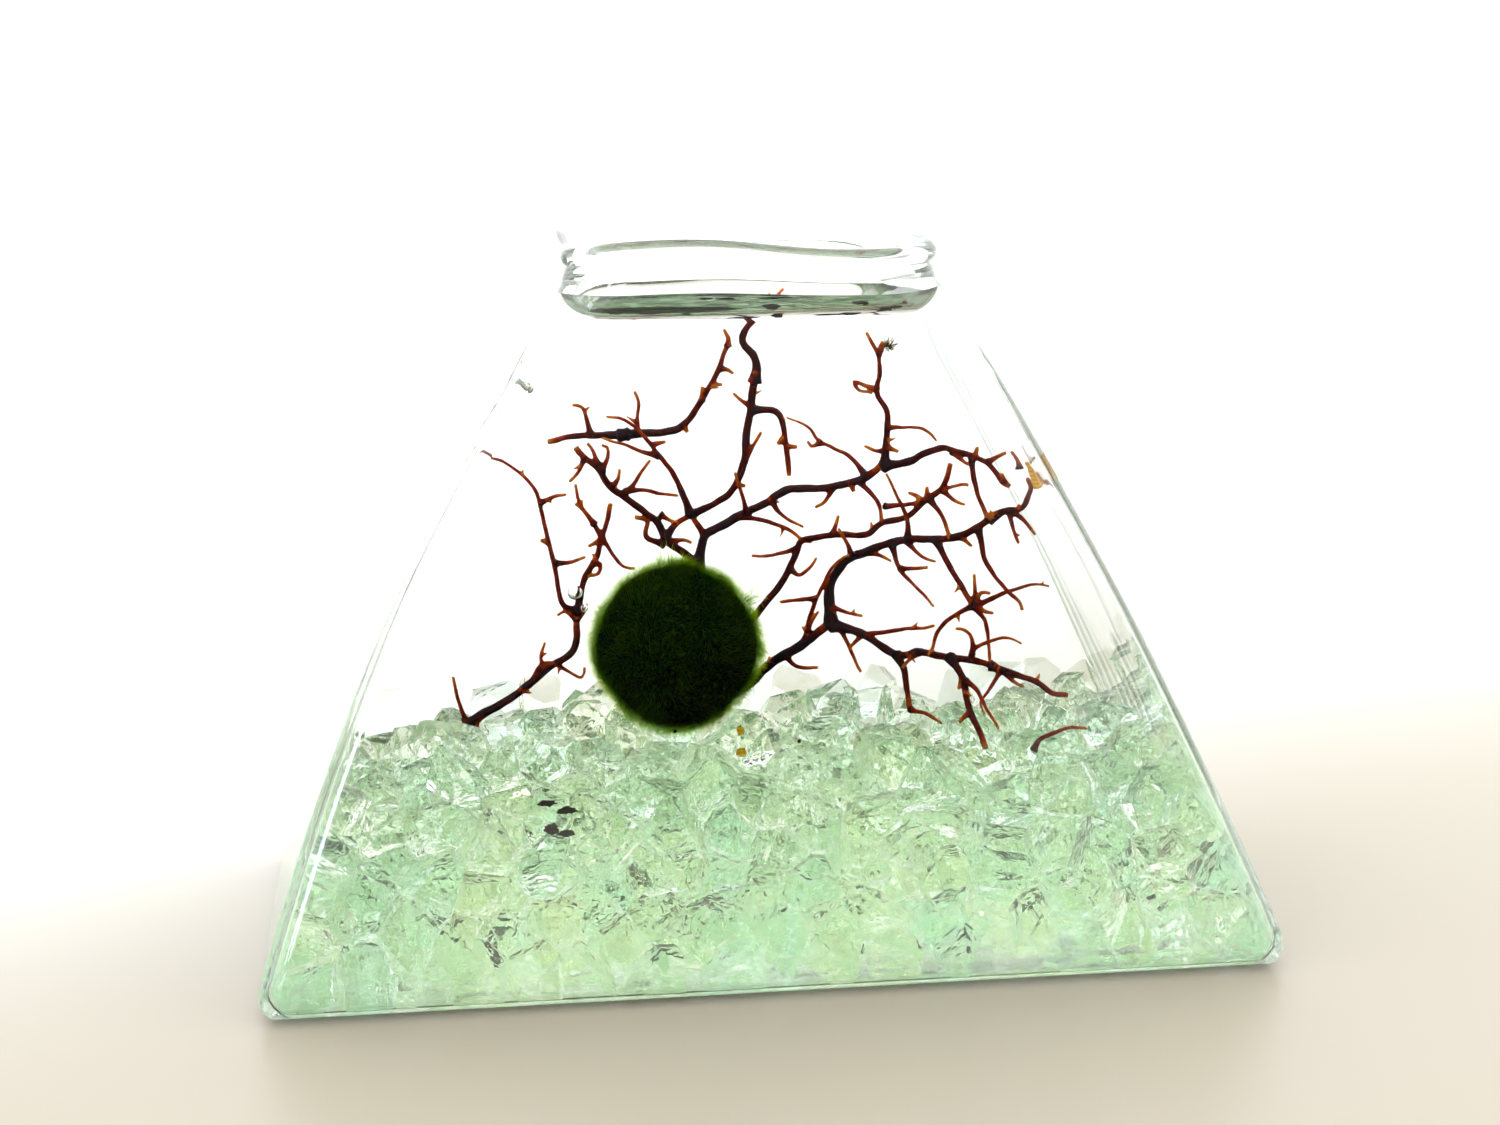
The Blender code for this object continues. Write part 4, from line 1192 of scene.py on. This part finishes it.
def fan_lines(names, seed):
    """All the branches, twigs and thorns of some of the fan's pieces."""
    rng = random.Random(seed)
    lines = [branch_line(branch) for name in names for branch in SEA_FAN[name]]
    for points, radii in list(lines):
        length = len(points) * FAN_STEP
        for _ in range(int(length / THORN_SPACING + rng.random())):
            if len(points) > 6:
                lines.append(thorn(points, radii, rng))
    return lines


def apply_modifiers(obj):
    """Make what an object's modifiers show into its mesh."""
    shown = obj.evaluated_get(bpy.context.evaluated_depsgraph_get())
    mesh = bpy.data.meshes.new_from_object(shown)
    obj.modifiers.clear()
    obj.data = mesh


def grown_together(name, lines, triangles):
    """One skin round tubes that run into each other, with webbed forks."""
    verts = []
    faces = []
    for points, radii in lines:
        add_part(verts, faces, *tube(points, radii))
    mesh = bpy.data.meshes.new(name)
    mesh.from_pydata(verts, [], faces)
    fan = add_object(name, mesh)
    remesh = fan.modifiers.new("skin", "REMESH")
    remesh.mode = "VOXEL"
    remesh.voxel_size = FAN_VOXEL
    relax = fan.modifiers.new("relax", "SMOOTH")
    relax.factor = 0.5
    relax.iterations = 3
    apply_modifiers(fan)
    made = sum(len(face.vertices) - 2 for face in fan.data.polygons)
    if made > triangles:
        thin = fan.modifiers.new("thin", "DECIMATE")
        thin.ratio = triangles / made
        apply_modifiers(fan)
    return fan


def build_fan(name, pieces, seed, triangles):
    """Dried sea fan: dark stout stems that fork into red-brown limbs and orange twigs."""
    lines = fan_lines(pieces, seed)
    fan = grown_together(name, lines, triangles)
    count = sum(len(points) for points, _ in lines)
    tree = kdtree.KDTree(count)
    girths = []
    for points, radii in lines:
        for point, radius in zip(points, radii):
            # Less girth toward the tips pales the colour, partly as painted glow of light through them
            from_tip = (points[-1] - point).length
            fade = min(1.0, 0.35 + 0.3 * from_tip)
            tree.insert(point, len(girths))
            girths.append(radius * fade)
    tree.balance()
    skin = fan.data
    near = [girths[tree.find(vert.co)[1]] for vert in skin.vertices]
    skin.transform(Matrix.Scale(MM, 4))
    skin.update()
    store(skin, "girth", near)
    skin.shade_smooth()
    return fan


def build_rind_flake():
    """Curled flake of the fan's golden rind, ridged across, caught in a fork."""
    top = seen_at(RIND_TOP, RIND_DEPTH)
    foot = seen_at(RIND_FOOT, RIND_DEPTH)
    down = foot - top
    side = Vector((0.0, 1.0, 0.0)).cross(down).normalized()
    out = down.cross(side).normalized()
    rows = RIND_ROWS
    columns = RIND_COLUMNS
    verts = []
    for face, row, column in product((1, -1), range(rows), range(columns)):
        along = row / (rows - 1)
        across = 2 * column / (columns - 1) - 1
        ragged = 1 + 0.12 * noise.noise(Vector((along * 6, across, 4.0)))
        point = top + down * (along + 0.03 * noise.noise(Vector((across * 3, 2.0, 7.0))))
        point += side * (across * RIND_HALF_WIDTH * ragged)
        ridge = 0.06 * math.sin(2 * math.pi * RIND_RIDGES * along + across)
        curl = 0.35 * across * across
        edge = 1 - across ** 4
        point += out * (curl + face * (0.05 + (0.14 + ridge) * edge))
        verts.append(point)
    faces = []
    sheet = rows * columns
    for row in range(rows - 1):
        for column in range(columns - 1):
            a = row * columns + column
            b = a + columns
            faces.append((a, a + 1, b + 1, b))
            faces.append((sheet + a, sheet + b, sheet + b + 1, sheet + a + 1))
    edge = [row * columns for row in range(rows)]
    edge += [(rows - 1) * columns + column for column in range(1, columns)]
    edge += [row * columns + columns - 1 for row in range(rows - 2, -1, -1)]
    edge += [column for column in range(columns - 2, 0, -1)]
    for a, b in zip(edge, edge[1:] + edge[:1]):
        faces.append((a, b, sheet + b, sheet + a))
    flake = mesh_object("sea_fan_rind", verts, faces)
    bm = bmesh.new()
    bm.from_mesh(flake.data)
    bmesh.ops.recalc_face_normals(bm, faces=bm.faces)
    bm.to_mesh(flake.data)
    bm.free()
    return flake


def front_wall(x, z):
    """How far toward the front the bowl's inner face is, less the gap at which crumbs lie."""
    half_x, half_y = outer_half(z)
    inset = WALL + CRUMB_GAP
    radius = max(corner_radius(z) - inset, TIGHTEST)
    over = max(abs(x - middle_x(z)) - (half_x - inset - radius), 0.0)
    y = radius - half_y + inset - math.sqrt(radius ** 2 - min(over, 0.95 * radius) ** 2)
    return y - ripple(Vector((x, y, z)), INNER_SEED)


def build_crumbs(name, crumbs, seed):
    """Flat crumbs that cling to the inside of the front wall."""
    ways, triangles = round_ball(3)
    verts = []
    faces = []
    for number, (pixel, width, height) in enumerate(crumbs):
        centre = seen_at(pixel, -BASE_DEPTH / 2)
        for _ in range(4):
            centre = seen_at(pixel, front_wall(centre.x, centre.z))
        points = []
        for way in ways:
            ragged = 1 + 0.7 * noise.noise(way * 1.9 + Vector((seed, 3.0 * number, 0.0)))
            x = centre.x + way.x * ragged * width / 2
            z = centre.z + way.z * ragged * height / 2
            points.append(Vector((x, front_wall(x, z) + way.y * CRUMB_HALF, z)))
        add_part(verts, faces, points, triangles)
    return mesh_object(name, verts, faces)


# ---------------------------------------------------------------- finishes

def add_absorption(tree, tint, density):
    """Colour that light takes on along its way through."""
    absorb = add_node(tree, "VolumeAbsorption", None, {"Color": tint, "Density": density})
    tree.links.new(absorb.outputs["Volume"], tree.nodes["Material Output"].inputs["Volume"])


def clear_soda_lime_glass():
    """Fire-polished soda-lime glass: clear, with green only where one looks along the wall."""
    material, tree, shader = new_material("clear_soda_lime_glass")
    fill(tree, shader, {"Base Color": WHITE, "Roughness": 0.0, "Transmission Weight": 1.0,
                        "IOR": 1.5})
    add_absorption(tree, colour("CFE6C8"), 6.0)
    return material


def clear_water():
    """Still fresh water: next to colourless in so small a bowl."""
    material, tree, shader = new_material("clear_water")
    fill(tree, shader, {"Base Color": WHITE, "Roughness": 0.0, "Transmission Weight": 1.0,
                        "IOR": WATER_INDEX})
    add_absorption(tree, colour("DDEBE4"), 2.0)
    return material


def crushed_green_glass():
    """Crushed pale green glass under water: deeper green where it is thick, soft bright edges."""
    material, tree, shader = new_material("crushed_green_glass")
    tone = blend(tree, value_of(tree, "tint"), colour("F4FCFA"), colour("FCFCF5"))
    place = add_node(tree, "TexCoord")
    # Shell-like ripples of the broken faces, about 1 mm apart
    ripples = add_node(tree, "TexNoise", None, {"Vector": place.outputs["Object"],
                                                "Scale": 900.0, "Detail": 1.0})
    bump = add_node(tree, "Bump", None, {"Height": ripples.outputs["Fac"], "Strength": 0.6,
                                         "Distance": 0.0004})
    fill(tree, shader, {"Base Color": tone, "Roughness": 0.0, "Transmission Weight": 1.0,
                        "IOR": 1.10, "Normal": bump.outputs["Normal"]})
    add_absorption(tree, colour("CEDD9C"), 13.0)
    return material


def living_moss(name, root, dull, bright, see_through):
    """Fine algae threads: darker toward their roots as painted shade deep in the felt, and at the tips
    green filters for the light.
    """
    material, tree, shader = new_material(name)
    light = blend(tree, value_of(tree, "hue"), colour(dull), colour(bright))
    # The root colour, toward the felt, is painted shade among the threads
    tone = blend(tree, value_of(tree, "tip"), colour(root), light)
    fill(tree, shader, {"Base Color": tone, "Roughness": 0.5, "IOR": 1.02,
                        "Transmission Weight": see_through})
    return material


def dark_felt():
    """The ball's dense inside: so full of threads that almost no light comes back; its near-black green
    is painted shade of the dense threads over their own deep green.
    """
    material, tree, shader = new_material("dark_felt")
    # Near-black green: the felt's own colour darkened as painted shade
    fill(tree, shader, {"Base Color": colour("0A2404"), "Roughness": 0.9, "IOR": 1.05,
                        "Specular IOR Level": 0.0})
    return material


def golden_rind():
    """Dry rind of the sea fan: golden where light gets through it, brown in its furrows."""
    material, tree, shader = new_material("golden_rind")
    place = add_node(tree, "TexCoord")
    # Growth bands, about 0.4 mm apart
    bands = add_node(tree, "TexWave", {"bands_direction": "Z"},
                     {"Vector": place.outputs["Object"], "Scale": 800.0, "Distortion": 3.0})
    tone = blend(tree, bands.outputs["Fac"], colour("E09A08"), colour("FCD040"))
    fill(tree, shader, {"Base Color": tone, "Roughness": 0.6, "Transmission Weight": 0.7,
                        "IOR": 1.1, "Subsurface Weight": 0.8,
                        "Subsurface Radius": (1.0, 0.6, 0.1), "Subsurface Scale": 0.0006})
    return material


def wet_bark():
    """Rotted crumbs of the fan's bark: almost black when wet."""
    material, tree, shader = new_material("wet_bark")
    fill(tree, shader, {"Base Color": colour("24160F"), "Roughness": 0.6, "IOR": 1.15})
    return material


def dried_sea_fan():
    """Dried horny sea fan: near-black where stout, red-brown to orange toward thin twigs, partly its
    own tone and partly painted glow of light through them.
    """
    material, tree, shader = new_material("dried_sea_fan")
    place = add_node(tree, "TexCoord")
    # Mottling of the bark, about 0.8 mm long
    mottle = add_node(tree, "TexNoise", None,
                      {"Vector": place.outputs["Object"], "Scale": 1300.0, "Detail": 4.0})
    uneven = add_node(tree, "MapRange", None,
                      {"Value": mottle.outputs["Fac"], "From Min": 0.3, "From Max": 0.7,
                       "To Min": -0.05, "To Max": 0.05})
    stout = add_node(tree, "Math", {"operation": "ADD"},
                     {0: value_of(tree, "girth"), 1: uneven.outputs["Result"]})
    tone = add_node(tree, "ValToRGB", None, {"Fac": stout.outputs["Value"]})
    ramp = tone.color_ramp
    # Paler and more orange with less girth: partly the fan's own tone, partly painted glow of back
    # light through thin twigs
    for girth, code in ((0.15, "B4501A"), (0.24, "8A2C14"), (0.36, "55201A")):
        ramp.elements.new(girth).color = colour(code)
    ramp.elements[0].position = 0.06
    ramp.elements[0].color = colour("DC8A28")
    ramp.elements[-1].position = 0.50
    ramp.elements[-1].color = colour("3A262C")
    bump = add_node(tree, "Bump", None, {"Height": mottle.outputs["Fac"], "Strength": 0.35,
                                         "Distance": 0.0001})
    fill(tree, shader, {"Base Color": tone.outputs["Color"], "Roughness": 0.45, "IOR": 1.15,
                        "Subsurface Weight": 0.9, "Subsurface Radius": (1.0, 0.35, 0.12),
                        "Subsurface Scale": 0.0008, "Normal": bump.outputs["Normal"]})
    return material


# ---------------------------------------------------------------- assembly

def set_light_paths():
    """Long paths through the glass, and plain tones."""
    scene = bpy.context.scene
    scene.view_settings.view_transform = "Standard"
    scene.cycles.max_bounces = LIGHT_BOUNCES
    scene.cycles.transmission_bounces = LIGHT_BOUNCES
    scene.cycles.glossy_bounces = MIRROR_BOUNCES
    scene.cycles.diffuse_bounces = 4


def main():
    place_camera()
    light_room()
    hang_window_lamp()
    lay_table()
    set_light_paths()
    dress(build_bowl(), clear_soda_lime_glass(), "clear_glass", "glass_bowl")
    dress(build_water(), clear_water(), "water", "water")
    chips = build_chips([(BALL_CENTRE, BALL_RADIUS)] + buried_branches())
    dress(chips, crushed_green_glass(), "crushed_glass", "glass_chip_bed")
    bark = dried_sea_fan()
    for name, solids, seed, triangles in FANS:
        dress(build_fan(name, solids, seed, triangles), bark, "sea_fan_stem", *solids)
    rind = golden_rind()
    dress(build_rind_flake(), rind, "sea_fan_stem")
    dress(build_crumbs("rind_grains", RIND_GRAINS, 1.0), rind, "sea_fan_stem")
    dress(build_crumbs("bark_crumbs", BARK_CRUMBS, 2.0), wet_bark(), "sea_fan_stem")
    # The first colour is the threads' root colour, darkened as painted shade in the tuft
    algae = living_moss("golden_algae", "4A360A", "9A8420", "D8C84A", 0.5)
    dress(build_algae_tuft(), algae, "green_moss")
    dress(build_moss_core(), dark_felt(), "green_moss", "marimo_moss_ball")
    # The first colour is the threads' root colour, darkened as painted shade deep in the felt
    moss = living_moss("living_moss", "58980A", "B4CE0C", "DEEA24", 0.94)
    for threads in MOSS_THREADS:
        dress(build_threads(*threads), moss, "green_moss")
    dress(build_strays(), moss, "green_moss")


main()
